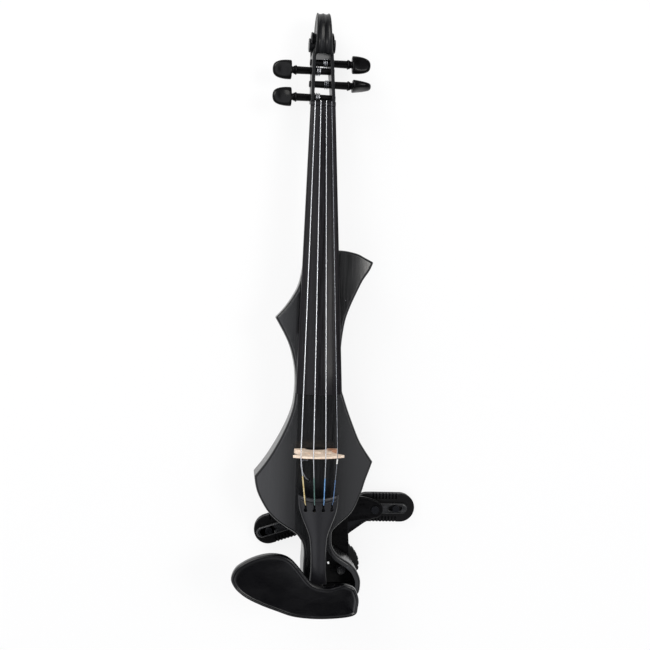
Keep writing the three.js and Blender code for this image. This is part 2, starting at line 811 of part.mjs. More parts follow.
function neckGeometry() {
  const rings = [];
  for (let station = 0; station <= neckStations; station += 1) {
    rings.push(neckRing(neckStart + ((neckEnd - neckStart) * station) / neckStations));
  }
  const slotStart = pegboxStart + seatGap;
  const slotEnd = pegboxEnd - pegboxEndWall;
  const wide = pegboxHalf(slotStart) - cheekThickness;
  const narrow = pegboxHalf(slotEnd) - cheekThickness;
  const slot = outline([[-wide, slotStart], [wide, slotStart], [narrow, slotEnd], [-narrow, slotEnd]]);
  const tools = [plate(slot, -cutOverrun, nutTop + cutOverrun)];
  for (const name of stringNames) {
    const { y, z } = pegPlace(name);
    const reach = pegboxHalfWidth + cutOverrun;
    const headEnd = pegRadius + seatGap;
    const tipEnd = pegTipRadius + seatGap;
    const [left, right] = pegSide[name] < 0 ? [headEnd, tipEnd] : [tipEnd, headEnd];
    tools.push(alongX(-reach, reach, y, z, left, right));
  }
  // Above the neck the nut's seat stays free
  tools.push(box(-pegboxHalfWidth * 2, pegboxHalfWidth * 2, nutY - cutOverrun, pegboxStart,
    boardUnder(nutY) - seatGap, nutTop + cutOverrun));
  return cut(joined(loft(rings), tongueGeometry(), pegboxGeometry(), scrollGeometry()), ...tools);
}

// Fingerboard and nut

const boardArcSteps = 8;

function archedRing(y, halfWidth, top, under, radius) {
  const ring = [];
  for (let step = 0; step <= boardArcSteps; step += 1) {
    const x = -halfWidth + (2 * halfWidth * step) / boardArcSteps;
    ring.push(new THREE.Vector3(x, y, top - archDrop(x, radius)));
  }
  ring.push(new THREE.Vector3(halfWidth, y, under), new THREE.Vector3(-halfWidth, y, under));
  return ring;
}

function fingerboardGeometry() {
  return loft([fingerboardEnd, nutY - seatGap].map((y) =>
    archedRing(y, boardHalfWidth(y), boardTop(y), boardUnder(y), fingerboardRadius)));
}

function nutGeometry() {
  const half = fingerboardNutWidth / 2;
  const under = boardUnder(nutY);
  return loft([
    archedRing(nutY, half, nutTop, under, fingerboardRadius),
    archedRing(nutY + nutThickness / 2, half, nutTop, under, fingerboardRadius),
    archedRing(pegboxStart - seatGap, half, nutTop - nutThickness / 4, under, fingerboardRadius),
  ]);
}

// Pegs with their collar and thumb piece, drawn along X from the middle of the pegbox

const headShares = [[0, 0.3, 0.5], [0.1, 0.62, 0.96], [0.25, 0.93, 1], [0.45, 1, 0.82], [0.65, 0.92, 0.64],
  [0.82, 0.7, 0.52], [0.94, 0.42, 0.46], [1, 0.2, 0.26]];
const headSides = 14;
const pegSides = 12;

function pegGeometry(name) {
  const reach = pegboxHalf(pegPlace(name).y) + pegTipProud;
  const start = pegCollarReach + pegCollarThickness + pegNeckLength;
  const rings = headShares.map(([along, wide, thick]) => {
    const ring = [];
    for (let side = 0; side < headSides; side += 1) {
      const angle = (side / headSides) * 2 * Math.PI;
      const y = (pegHeadWidth / 2) * wide * Math.cos(angle);
      const z = (pegHeadThickness / 2) * thick * Math.sin(angle);
      ring.push(new THREE.Vector3(start + pegHeadLength * along, y, z));
    }
    return ring;
  });
  const head = loft(rings);
  const shaft = alongX(-reach, pegCollarReach + cutOverrun / 2, 0, 0, pegTipRadius, pegRadius, pegSides);
  const collar = alongX(pegCollarReach, pegCollarReach + pegCollarThickness, 0, 0, pegCollarRadius,
    pegCollarRadius, pegSides);
  const necked = alongX(pegCollarReach, start + pegNeckLength, 0, 0, pegTipRadius, pegTipRadius, pegSides);
  return joined(shaft, collar, necked, head).rotateX(pegTurns[name]);
}

// String on the peg: the loops of one unbroken wire
function windingRoute(name) {
  const place = pegPlace(name);
  const radius = stringDiameters[name] / 2;
  const coil = pegRadius + radius + seatGap;
  const from = arrival(name);
  const points = [];
  for (let step = 0; step <= windingLoops * windingSteps; step += 1) {
    const turn = step / windingSteps;
    const angle = from.angle - turn * 2 * Math.PI;
    const x = from.x - pegSide[name] * turn * windingPitch;
    points.push(new THREE.Vector3(x, place.y + coil * Math.cos(angle), place.z + coil * Math.sin(angle)));
  }
  return points;
}

// Where a string first touches the turns on its peg, and how it comes in from the nut
function arrival(name) {
  const place = pegPlace(name);
  const radius = stringDiameters[name] / 2;
  const coil = pegRadius + radius + seatGap;
  const x = pegSide[name] * (pegboxHalf(place.y) - cheekThickness - radius - 2 * runningGap);
  const nutX = nutSpacing * stringRank(name);
  const from = new THREE.Vector3(nutX, neckEnd - nutThickness / 4, stringAtNut(name));
  const run = Math.hypot(place.y - from.y, place.z - from.z);
  const slope = Math.atan2(place.z - from.z, place.y - from.y);
  const angle = slope + Math.PI - Math.acos(coil / run);
  const touch = new THREE.Vector3(x, place.y + coil * Math.cos(angle), place.z + coil * Math.sin(angle));
  return { x, angle, from, touch };
}

function stringRank(name) {
  return stringNames.indexOf(name) - (stringNames.length - 1) / 2;
}

function stringAtNut(name) {
  const drop = archDrop(nutSpacing * stringRank(name), fingerboardRadius);
  return nutTop - drop + seatGap + stringDiameters[name] / 2;
}

function windingGeometry(name) {
  const points = windingRoute(name);
  const radius = stringDiameters[name] / 2;
  const rings = points.map((point, index) => {
    const before = points[Math.max(index - 1, 0)];
    const after = points[Math.min(index + 1, points.length - 1)];
    const along = new THREE.Vector3().subVectors(after, before).normalize();
    const place = pegPlace(name);
    const outward = new THREE.Vector3(0, point.y - place.y, point.z - place.z).normalize();
    const third = new THREE.Vector3().crossVectors(along, outward);
    const ring = [];
    for (let side = 0; side < windingSides; side += 1) {
      const angle = (side / windingSides) * 2 * Math.PI;
      const corner = point.clone().addScaledVector(outward, radius * Math.cos(angle));
      ring.push(corner.addScaledVector(third, radius * Math.sin(angle)));
    }
    return ring;
  });
  return loft(rings);
}

function leastGap(points, diameter, apart) {
  let least = Infinity;
  for (let first = 0; first < points.length; first += 1) {
    for (let second = first + apart; second < points.length; second += 1) {
      least = Math.min(least, points[first].distanceTo(points[second]));
    }
  }
  return least - diameter;
}

// Bridge

const bridgeSideShares = [[1, 0.78], [0.9, 0.7], [0.72, 0.6], [0.61, 0.46], [0.555, 0.33], [0.6, 0.24], [0.79, 0.15],
  [0.866, 0.075], [0.866, 0], [0.455, 0], [0.4, 0.09], [0.25, 0.16], [0, 0.185]];
const bridgeTopSteps = 8;

function bridgeThicknessAt(up) {
  return bridgeFootThickness + ((bridgeTopThickness - bridgeFootThickness) * up) / bridgeHeight;
}

function bridgeGeometry() {
  const right = [];
  for (let step = 0; step < bridgeTopSteps; step += 1) {
    const x = (bridgeHalfWidth * step) / bridgeTopSteps;
    right.push([x, bridgeHeight - archDrop(x, bridgeArchRadius)]);
  }
  const tip = bridgeHeight - archDrop(bridgeHalfWidth, bridgeArchRadius);
  right.push([bridgeHalfWidth, tip]);
  const footScale = bridgeFootHalfWidth / (bridgeHalfWidth * bridgeSideShares[8][0]);
  for (const [out, up] of bridgeSideShares.slice(1)) {
    const low = up < bridgeSideShares[5][1];
    right.push([bridgeHalfWidth * out * (low ? footScale : 1), (tip / bridgeSideShares[0][1]) * up + seatGap]);
  }
  const left = right.slice(1, -1).map(([x, z]) => [-x, z]).reverse();
  const shape = outline(right.concat(left));
  for (const [x, z, wide, tall] of [[0, heartHeight, heartRadius, heartRadius],
    [kidneyPlace, kidneyHeight, kidneyRadiusX, kidneyRadiusZ],
    [-kidneyPlace, kidneyHeight, kidneyRadiusX, kidneyRadiusZ]]) {
    const hole = new THREE.Path();
    hole.absellipse(x, z, wide, tall, 0, 2 * Math.PI, false);
    shape.holes.push(hole);
  }
  const geometry = new THREE.ExtrudeGeometry(shape, { depth: 1, bevelEnabled: false, curveSegments: 10 });
  const places = geometry.attributes.position;
  for (let index = 0; index < places.count; index += 1) {
    const [x, up, side] = [places.getX(index), places.getY(index), places.getZ(index) - 0.5];
    places.setXYZ(index, x, -bridgeThicknessAt(up) * side, face + up);
  }
  return geometry;
}

// Pickup disc on the bridge's tail side, and its lead down to the circuit board

const pickupUp = kidneyHeight + kidneyRadiusZ - pickupRadius;
const pickupZ = face + pickupUp;
const pickupBack = bridgeThicknessAt(pickupUp - pickupRadius) / 2 + seatGap;

function pickupGeometry() {
  return alongY(-kidneyPlace, -pickupBack - pickupThickness, -pickupBack, pickupZ, pickupRadius, 24);
}

// Tailpiece, with its fret, keyhole slots and cord

const tailWidthShares = [[0, 1], [0.12, 0.97], [0.235, 0.835], [0.345, 0.633], [0.45, 0.463], [0.565, 0.394],
  [0.7, 0.372], [0.845, 0.383], [0.93, 0.42], [1, 0.44]];
const tailArcSteps = 6;
const tailStations = 11;

function tailCentre(y) {
  const share = (-tailpieceTop - y) / tailpieceLength;
  return tailpieceLeftOffset + (tailAxis - tailpieceLeftOffset) * share;
}

function tailHalf(y) {
  return tailpieceHalfWidth * fromTable(tailWidthShares, (-tailpieceTop - y) / tailpieceLength);
}

function tailTopAt(x, y) {
  const share = (-tailpieceTop - y) / tailpieceLength;
  const height = tailpieceTopHeight + (tailpieceEndHeight - tailpieceTopHeight) * share;
  const out = (x - tailCentre(y)) / tailHalf(y);
  return face + height - tailpieceArch * (tailHalf(y) / tailpieceHalfWidth) * out ** 2;
}

function tailRing(y, curve) {
  const top = [];
  const half = tailHalf(y);
  for (let step = 0; step <= tailArcSteps; step += 1) {
    const out = 1 - (2 * step) / tailArcSteps;
    const x = tailCentre(y) + half * out;
    top.push(new THREE.Vector3(x, y - curve * (1 - out ** 2), tailTopAt(x, y)));
  }
  const bottom = top.map((point) => point.clone().setZ(point.z - tailpieceThickness)).reverse();
  return top.concat(bottom);
}

function tailHoleX(name) {
  return tailCentre(-tailpieceTop - tailHoleSetback) + tailSpacing * stringRank(name);
}

function tailpieceGeometry() {
  const rings = [];
  for (let station = 0; station <= tailStations; station += 1) {
    const share = station / tailStations;
    rings.push(tailRing(-tailpieceTop - tailpieceLength * share, tailTopCurve * Math.max(1 - 6 * share, 0)));
  }
  const holeY = -tailpieceTop - tailHoleSetback;
  const under = face;
  const over = face + tailpieceTopHeight + cutOverrun;
  const tools = [];
  for (const name of stringNames) {
    const x = tailHoleX(name);
    tools.push(upright(x, holeY, under, over, tailHoleRadius, tailHoleRadius, 16));
    tools.push(box(x - tailSlotWidth / 2, x + tailSlotWidth / 2, holeY, holeY + tailSlotLength, under, over));
  }
  return cut(loft(rings), ...tools);
}

function tailFretGeometry() {
  const y = -tailpieceTop - fretSetback;
  const points = [];
  const span = tailHalf(y) - 2 * fretRadius;
  for (let step = 0; step <= tailArcSteps; step += 1) {
    const out = 1 - (2 * step) / tailArcSteps;
    const x = tailCentre(y) + span * out;
    const back = y - tailTopCurve * (1 - out ** 2);
    points.push(new THREE.Vector3(x, back, tailTopAt(x, back) + fretRadius + seatGap));
  }
  return tube(points, fretRadius, 2 * tailArcSteps);
}

function stringRoute(name) {
  const radius = stringDiameters[name] / 2;
  const rank = stringRank(name);
  const { x, from, touch } = arrival(name);
  const nutX = nutSpacing * rank;
  const bridgeX = bridgeSpacing * rank;
  const bridgeZ = bridgeTop - archDrop(bridgeX, bridgeArchRadius) + seatGap + radius;
  const holeY = -tailpieceTop - tailHoleSetback;
  const holeX = tailHoleX(name);
  const out = (holeX - tailCentre(holeY)) / tailHalf(holeY);
  const fretY = -tailpieceTop - fretSetback - tailTopCurve * (1 - out ** 2);
  const fretX = holeX + (bridgeX - holeX) * ((fretY - holeY) / -holeY);
  const over = tailTopAt(holeX, fretY) + 2 * (fretRadius + seatGap) + runningGap + radius;
  const slotTop = holeY + tailSlotLength - radius - seatGap;
  const inward = new THREE.Vector3().subVectors(from, touch).setX(nutX - x).normalize();
  return [
    touch.clone().addScaledVector(inward, windingStandoff),
    from,
    new THREE.Vector3(nutX, nutY + seatGap, from.z),
    new THREE.Vector3(bridgeX, 0, bridgeZ),
    new THREE.Vector3(fretX, fretY, over),
    new THREE.Vector3(holeX, slotTop, tailTopAt(holeX, slotTop) + radius + seatGap),
    new THREE.Vector3(holeX, holeY, tailTopAt(holeX, holeY) - tailpieceThickness - 2 * stringBallRadius),
  ];
}

function stringGeometry(name) {
  const route = stringRoute(name);
  const end = route[route.length - 1];
  const half = stringBallLength / 2;
  const ball = alongX(end.x - half, end.x + half, end.y, end.z, stringBallRadius, stringBallRadius, 12);
  return joined(wire(route, stringDiameters[name] / 2), ball);
}

// Button on the tail, and the cord that holds the tailpiece to it

const buttonY = bodyEnd + endButtonSetback;

function endButtonGeometry() {
  const headTop = face + endButtonProud + endButtonHeadHeight;
  return joined(
    upright(tailAxis, buttonY, face - endButtonHeight + seatGap, headTop, endButtonNeckRadius),
    upright(tailAxis, buttonY, headTop - endButtonHeadHeight, headTop, endButtonRadius, endButtonTopRadius),
  );
}

function tailCordGeometry() {
  const end = -tailpieceTop - tailpieceLength - seatGap;
  const loop = endButtonNeckRadius + tailCordRadius + seatGap;
  const endShare = tailWidthShares[tailWidthShares.length - 1][1];
  const high = face + tailpieceEndHeight - (tailpieceThickness + tailpieceArch * endShare ** 2) / 2;
  const low = face + tailCordHeight;
  const side = (out) => [
    new THREE.Vector3(tailAxis + out * tailCordHalfSpan, end, high),
    new THREE.Vector3(tailAxis + out * tailCordHalfSpan, end - tailCordRadius, high),
    new THREE.Vector3(tailAxis + out * loop, (end + buttonY) / 2, (high + low) / 2),
    new THREE.Vector3(tailAxis + out * loop, buttonY, low),
    new THREE.Vector3(tailAxis + out * loop * Math.SQRT1_2, buttonY - loop * Math.SQRT1_2, low),
  ];
  const middle = new THREE.Vector3(tailAxis, buttonY - loop, low);
  return tube([...side(-1), middle, ...side(1).reverse()], tailCordRadius, 22);
}

// Control panel in the well, with the volume control and a lamp

const panelBottom = wellFloor + seatGap;
const panelTop = panelBottom + panelThickness;

function panelGeometry() {
  return cut(
    plate(wellShape(seatGap), panelBottom, panelTop),
    upright(knobX, knobY, wellFloor, panelTop + cutOverrun, potShaftRadius + runningGap),
    upright(lampX, lampY, wellFloor, panelTop + cutOverrun, lampRadius + seatGap),
  );
}

function potGeometry() {
  return joined(
    upright(knobX, knobY, bodyBack + seatGap, panelBottom - seatGap, potRadius),
    upright(knobX, knobY, panelBottom - 2 * seatGap, panelTop + knobHeight / 2, potShaftRadius),
  );
}

// The knob has a skirt, a rim round its top and a bore for the shaft
function knobGeometry() {
  const bore = potShaftRadius + seatGap;
  const rim = knobRadius * 0.84;
  const dish = knobHeight - seatGap * 2;
  const boreTop = knobHeight / 2 + seatGap * 2;
  const profile = [[bore, 0], [knobRadius, 0], [knobRadius, knobHeight * 0.9], [rim, knobHeight],
    [rim * 0.8, knobHeight], [rim * 0.72, dish], [0, dish], [0, boreTop], [bore, boreTop], [bore, 0]];
  return turned(profile, 18);
}

function lampGeometry() {
  return upright(lampX, lampY, panelBottom, panelTop + lampHeight, lampRadius);
}

// Sockets for the instrument lead and the headphones, open to the tail

function socketGeometry(x, sleeve, bore, length) {
  const outer = bodyEnd - socketProud;
  return cut(
    joined(
      alongY(x, bodyEnd - seatGap - socketProud, bodyEnd + length, socketZ, sleeve),
      alongY(x, outer, bodyEnd - seatGap, socketZ, sleeve + socketFlange, 6),
    ),
    alongY(x, outer - cutOverrun, bodyEnd + length - socketProud, socketZ, bore),
  );
}

// Rear pocket: cover with a window for the battery and rails for its door

const batteryLeft = -pocketLeft + seatGap + runningGap;
const batteryRight = batteryLeft + batteryLength;
const batteryBottom = pocketBottomY + seatGap + runningGap;
const batteryTop = batteryBottom + batteryWidth;
const windowLeft = -pocketLeft;
const windowRight = pocketRight;
const windowTop = batteryTop + runningGap;
const doorLeft = windowLeft - doorOverlap;
const doorRight = windowRight + doorOverlap;
const doorTop = windowTop + doorOverlap;
const doorBottom = pocketBottomY - doorOverlap;
const doorLow = bodyBack - seatGap - doorThickness;

function coverGeometry() {
  const left = -pocketLeft - coverLedge;
  const right = pocketRight + coverLedge;
  const top = pocketTopY + coverLedge;
  const bottom = pocketBottomY - coverLedge;
  const railLow = doorLow - seatGap - doorLip;
  const screwSpan = 2 * (coverScrewHeadRadius + seatGap);
  const [low, high] = [bottom + screwSpan, top - screwSpan];
  const rail = (inner, outer, lip) => [
    box(Math.min(inner, outer), Math.max(inner, outer), low, high, railLow, bodyBack + coverThickness / 2),
    box(Math.min(lip, outer), Math.max(lip, outer), low, high, railLow, railLow + doorLip),
  ];
  const leftRail = doorLeft - seatGap;
  const rightRail = doorRight + seatGap;
  const blank = joined(
    box(left, right, bottom, top, bodyBack, bodyBack + coverThickness),
    ...rail(leftRail, leftRail - doorRailWidth, leftRail + doorLip),
    ...rail(rightRail, rightRail + doorRailWidth, rightRail - doorLip),
  );
  const screwHole = coverScrewRadius + seatGap;
  const tools = [box(windowLeft, windowRight, pocketBottomY, windowTop, bodyBack - cutOverrun, pocketCeiling)];
  for (const [x, y] of coverScrewPlaces()) {
    tools.push(upright(x, y, bodyBack - cutOverrun, pocketCeiling, screwHole, screwHole, screwSides));
  }
  return cut(blank, ...tools);
}

function doorGeometry() {
  const pitch = ribPitch / 2;
  const half = doorGripWidth / 2;
  const middle = (doorLeft + doorRight) / 2;
  const grooveTop = doorLow + doorThickness / 3;
  const tools = [];
  for (let rib = 0; rib < doorGripRibs; rib += 1) {
    const y = doorBottom + ribPitch + rib * pitch;
    tools.push(box(middle - half, middle + half, y, y + pitch / 2, doorLow - cutOverrun, grooveTop));
  }
  return cut(box(doorLeft, doorRight, doorBottom, doorTop, doorLow, bodyBack - seatGap), ...tools);
}

const screwSides = 12;

// A screw with its head below its shank
function screwGeometry(x, y, headLow, headHeight, headRadius, length, radius) {
  const slot = radius / 3;
  return cut(
    joined(
      upright(x, y, headLow, headLow + headHeight, headRadius, headRadius, screwSides),
      upright(x, y, headLow + headHeight / 2, headLow + length, radius, radius, screwSides),
    ),
    box(x - headRadius - cutOverrun, x + headRadius + cutOverrun, y - slot, y + slot, headLow - cutOverrun,
      headLow + headHeight / 2.5),
  );
}

function batteryGeometry() {
  const low = bodyBack + coverThickness + seatGap;
  const [from, to] = [batteryRight - batteryTerminalHeight, batteryRight + batteryTerminalHeight];
  const middle = (batteryBottom + batteryTop) / 2;
  const high = low + batteryThickness;
  return joined(
    box(batteryLeft, batteryRight, batteryBottom, batteryTop, low, high),
    alongX(from, to, middle - batteryWidth / 4, (low + high) / 2, batteryTerminalRadius),
    alongX(from, to, middle + batteryWidth / 4, (low + high) / 2, batteryTerminalRadius),
  );
}

function snapGeometry() {
  const left = batteryRight + batteryTerminalHeight + seatGap;
  const inset = batteryWidth / 8;
  const low = bodyBack + coverThickness + seatGap + batteryThickness / 4;
  const high = low + batteryThickness / 2;
  return box(left, left + snapThickness, batteryBottom + inset, batteryTop - inset, low, high);
}

const boardLow = pocketCeiling - chipHeight - boardThickness - 2 * seatGap;
const boardTopSide = boardLow + boardThickness;

function boardGeometry() {
  const right = pocketRight - runningGap;
  const left = right - boardLength;
  const top = pocketTopY - runningGap;
  const parts = [box(left, right, top - boardWidth, top, boardLow, boardLow + boardThickness)];
  const chips = 4;
  const pitch = boardLength / chips;
  for (let chip = 0; chip < chips; chip += 1) {
    const x = left + pitch * (chip + 0.5);
    const y = top - boardWidth / 2;
    parts.push(box(x - chipWidth / 2, x + chipWidth / 2, y - chipLength / 2, y + chipLength / 2,
      boardLow + boardThickness / 2, boardLow + boardThickness + chipHeight));
  }
  return joined(...parts);
}

// The lead leaves the disc, lies on the face in a slack bend, goes down its hole and lands on the board.
// Shares of the slack bend: how far along to the hole, how far out and how high
const leadShares = [[0.15, 0.64, 1], [0.36, 1, 0.36], [0.64, 0.62, 0.13], [0.86, 0, 0.18]];

function leadGeometry() {
  const start = -pickupBack - pickupThickness - seatGap;
  const bend = leadShares.map(([along, out, up]) => new THREE.Vector3(
    -kidneyPlace - leadBow * out,
    start + (leadHoleY - start) * along,
    face + leadLift * up,
  ));
  return tube([
    new THREE.Vector3(-kidneyPlace, start, pickupZ),
    new THREE.Vector3(-kidneyPlace, start - leadHoleRadius, pickupZ - leadRadius),
    ...bend,
    new THREE.Vector3(leadHoleX, leadHoleY, face - leadRadius),
    new THREE.Vector3(leadHoleX, leadHoleY, pocketCeiling + 2 * leadHoleRadius),
    new THREE.Vector3(leadHoleX, leadHoleY + leadLanding * 0.08, pocketCeiling - runningGap),
    new THREE.Vector3(leadHoleX, leadHoleY + leadLanding * 0.37, boardTopSide + chipHeight * 0.62),
    new THREE.Vector3(leadHoleX, leadHoleY + leadLanding, boardTopSide + leadRadius + seatGap),
  ], leadRadius, 32, 6);
}

// Chin rest: a dished kidney on a riser, held by a clamp with two turnbuckle barrels

const chinShares = [[0, 0.645], [0.03, 0.785], [0.094, 0.88], [0.171, 0.95], [0.248, 0.99], [0.325, 1],
  [0.404, 0.974], [0.461, 0.916], [0.512, 0.815], [0.6, 0.6], [0.645, 0.527], [0.704, 0.483], [0.761, 0.473],
  [0.819, 0.5], [0.877, 0.525], [0.928, 0.5], [0.972, 0.445], [1, 0.3], [0.994, 0.17], [0.968, 0.07],
  [0.89, 0.021], [0.746, 0], [0.601, 0.013], [0.472, 0.055], [0.357, 0.137], [0.242, 0.226], [0.135, 0.329],
  [0.064, 0.43], [0.02, 0.53]];
const chinCentreShare = [0.59, 0.28];
const chinSteps = 46;
const chinLow = face + chinHeight;
// Rings of the plate from its underside over the rim into the dish: share of the outline, height share
const chinRings = [[0.9, 0], [0.975, 0.12], [1, 0.34], [1, 0.72], [0.985, 0.92], [0.96, 1], [0.93, 0.97],
  [0.8, 0.74], [0.55, 0.56], [0.25, 0.53]];

function chinPoint(across, up) {
  return new THREE.Vector2(chinWidth * across - chinLeft, chinLength * (up - 1) + bodyEnd + chinReach);
}

function chinRestGeometry() {
  const curve = new THREE.CatmullRomCurve3(chinShares.map(([across, up]) => {
    const point = chinPoint(across, up);
    return new THREE.Vector3(point.x, point.y, 0);
  }), true, 'centripetal');
  const centre = chinPoint(...chinCentreShare);
  const edge = curve.getSpacedPoints(chinSteps).slice(0, chinSteps);
  const rings = chinRings.map(([size, up]) => edge.map((point) => new THREE.Vector3(
    centre.x + (point.x - centre.x) * size,
    centre.y + (point.y - centre.y) * size,
    chinLow + chinThickness * up,
  )));
  return loft(rings);
}

function riserGeometry() {
  const top = chinLow - seatGap;
  const low = face + seatGap;
  const start = bodyEnd + seatGap * 3;
  const end = start + riserWidth;
  const rear = bodyEnd - barrelSetback - barrelRadius;
  const ledgeLeft = barrelPlaces.left - barrelRadius - seatGap;
  const ledgeRight = barrelPlaces.right + barrelRadius + seatGap;
  return joined(
    box(-riserLeft, riserRight, start, end, top - riserThickness, top),
    box(-riserLeft, riserFoot - riserLeft, start, end, low, top - riserThickness / 2),
    box(riserRight - riserFoot, riserRight, start, end, low, top - riserThickness / 2),
    box(ledgeLeft, ledgeRight, rear, start + riserWidth / 2, top - riserThickness, top),
  );
}

const clampTop = bodyBack - seatGap;
const clampLow = clampTop - clampThickness;

function clampGeometry() {
  const rear = bodyEnd - barrelSetback - barrelRadius;
  return box(barrelPlaces.left - barrelRadius - seatGap, barrelPlaces.right + barrelRadius + seatGap, rear,
    bodyEnd + riserWidth, clampLow, clampTop);
}

// A barrel turns between the clamp and the riser and has two cross holes for its key
function barrelGeometry() {
  const length = chinLow - seatGap - riserThickness - seatGap - (clampTop + seatGap);
  const ends = barrelRadius * 0.7;
  const profile = [[0, 0], [ends, 0], [ends, length * 0.18], [barrelRadius, length * 0.2],
    [barrelRadius, length * 0.8], [ends, length * 0.82], [ends, length], [0, length]];
  const blank = turned(profile, 12);
  const reach = barrelRadius + cutOverrun;
  return cut(blank,
    alongX(-reach, reach, 0, length * 0.32, barrelHoleRadius, barrelHoleRadius, 12),
    alongX(-reach, reach, 0, length * 0.68, barrelHoleRadius, barrelHoleRadius, 12));
}

// Shoulder rest, from the plate on the body's back down to the foam

const wheelY = bodyEnd + wheelSetback;
const plateLowerY = bodyEnd + plateLowerSetback;
const plateUpperY = pocketBottomY - coverLedge - platePocketGap;
const barTop = barBottom + barThickness;
const plateTop = plateBottom + plateThickness;
function plateScrewPlaces() {
  const x = plateScrewInset - plateLeft;
  return [[x, plateUpperY - plateScrewInset], [x, plateLowerY + plateScrewInset]];
}

function mountPlateGeometry() {
  const shape = new THREE.Shape();
  shape.moveTo(-plateLeft, plateLowerY);
  shape.lineTo(plateLowerRight, plateLowerY);
  shape.lineTo(plateLowerRight, plateLowerY + plateStepUp);
  shape.lineTo(plateUpperRight, plateUpperY - plateCorner);
  shape.quadraticCurveTo(plateUpperRight, plateUpperY, plateUpperRight - plateCorner, plateUpperY);
  shape.lineTo(-plateLeft, plateUpperY);
  const [under, over] = [plateBottom - cutOverrun, plateTop + cutOverrun];
  const nutLow = plateTop - clampNutHeight + seatGap;
  const nutSeat = clampNutRadius + seatGap;
  const tools = [
    upright(wheelPlaceX, wheelY, under, over, studRadius + runningGap),
    upright(wheelPlaceX, wheelY, nutLow - seatGap, over, nutSeat, nutSeat, 6),
  ];
  for (const [x, y] of plateScrewPlaces()) {
    tools.push(upright(x, y, under, over, plateScrewRadius + seatGap));
    tools.push(upright(x, y, under, plateBottom + plateScrewHeadHeight + seatGap, plateScrewHead + seatGap));
  }
  return cut(plate(shape, plateBottom, plateTop), ...tools);
}

function clampNutGeometry() {
  const low = plateTop - clampNutHeight + seatGap;
  return cut(
    upright(wheelPlaceX, wheelY, low, plateTop, clampNutRadius, clampNutRadius, 6),
    upright(wheelPlaceX, wheelY, low - cutOverrun, plateTop + cutOverrun, studRadius + seatGap),
  );
}

// The wheel's rim has a tooth at each grip, and its stud runs up through bar, plate and nut
function wheelGeometry() {
  const shape = new THREE.Shape();
  for (let tooth = 0; tooth < wheelTeeth; tooth += 1) {
    for (const [part, radius] of [[0, wheelRadius], [0.5, wheelRadius], [0.6, wheelRadius - wheelTooth],
      [0.9, wheelRadius - wheelTooth]]) {
      const angle = ((tooth + part) / wheelTeeth) * 2 * Math.PI;
      const [x, y] = [radius * Math.cos(angle), radius * Math.sin(angle)];
      if (tooth + part === 0) shape.moveTo(x, y);
      else shape.lineTo(x, y);
    }
  }
  const wheelBottom = barBottom - seatGap - wheelThickness;
  const studTop = plateTop - seatGap;
  return joined(
    plate(shape, 0, wheelThickness),
    upright(0, 0, wheelThickness / 2, studTop - wheelBottom, studRadius),
  );
}

function stepAlong(point, turn, length) {
  return new THREE.Vector2(point.x + length * Math.cos(turn), point.y + length * Math.sin(turn));
}

const rightPivot = new THREE.Vector2(rightPivotX, bodyEnd + rightPivotSetback);
const leftPivot = new THREE.Vector2(-leftPivotX, bodyEnd + leftPivotSetback);
const wingShares = [[0.14, 0.17], [-0.17, 0.33], [-0.72, 0.39], [-1, 0.22], [-1, -0.83], [-0.67, -0.63],
  [-0.28, -0.36], [0.06, -0.17]];

function barGeometry() {
  const run = new THREE.Vector2().subVectors(rightPivot, leftPivot);
  const middle = leftPivot.clone().addScaledVector(run, 0.5);
  const down = new THREE.Vector2(wheelPlaceX, wheelY).sub(middle);
  const wing = wingShares.map(([out, up]) => [rightPivot.x + wingLength * out, rightPivot.y + wingLength * up]);
  const hole = (x, y, radius) => upright(x, y, barBottom - cutOverrun, barTop + cutOverrun, radius);
  return cut(
    joined(
      plate(strapShape(leftPivot.x, leftPivot.y, run.angle(), run.length(), barWidth), barBottom, barTop),
      plate(strapShape(middle.x, middle.y, down.angle(), down.length(), barTongueWidth), barBottom, barTop),
      plate(outline(wing), barBottom, barTop),
      upright(wheelPlaceX, wheelY, barBottom, barTop, barEyeRadius),
    ),
    hole(wheelPlaceX, wheelY, studRadius + runningGap),
    hole(rightPivot.x, rightPivot.y, pinRadius + seatGap),
    hole(leftPivot.x, leftPivot.y, pinRadius + seatGap),
  );
}

function pinGeometry(pivot) {
  return joined(
    upright(pivot.x, pivot.y, armBottom + seatGap, barTop + seatGap + pinHeadHeight / 2, pinRadius),
    upright(pivot.x, pivot.y, barTop + seatGap, barTop + seatGap + pinHeadHeight, pinHeadRadius),
  );
}

function armGeometry(pivot, turn, length) {
  const slotStart = stepAlong(padScrewPlace(pivot, turn, length), turn, -padTravel);
  const slot = strapShape(slotStart.x, slotStart.y, turn, 2 * padTravel, armSlotWidth);
  return cut(
    plate(strapShape(pivot.x, pivot.y, turn, length, armWidth), armBottom, armBottom + armThickness),
    upright(pivot.x, pivot.y, armBottom - cutOverrun, barBottom, pinRadius + runningGap),
    plate(slot, armBottom - cutOverrun, barBottom),
  );
}

function padScrewPlace(pivot, turn, length) {
  return stepAlong(pivot, turn, length - padTravel - padScrewRadius);
}

function padScrewGeometry(place) {
  const headLow = armBottom + armThickness + seatGap;
  const shankLow = baseBottom + padBaseThickness / 3;
  return joined(
    upright(place.x, place.y, shankLow, headLow + padScrewHeadHeight / 2, padScrewRadius),
    upright(place.x, place.y, headLow, headLow + padScrewHeadHeight, padScrewHead, padScrewHead - seatGap),
  );
}

// A pad lies along its arm's line, set off from its screw
function padSpan(place, turn, setBack) {
  const half = (padLength - padWidth) / 2;
  const middle = stepAlong(place, turn, -setBack);
  return { middle, start: stepAlong(middle, turn, -half), half };
}

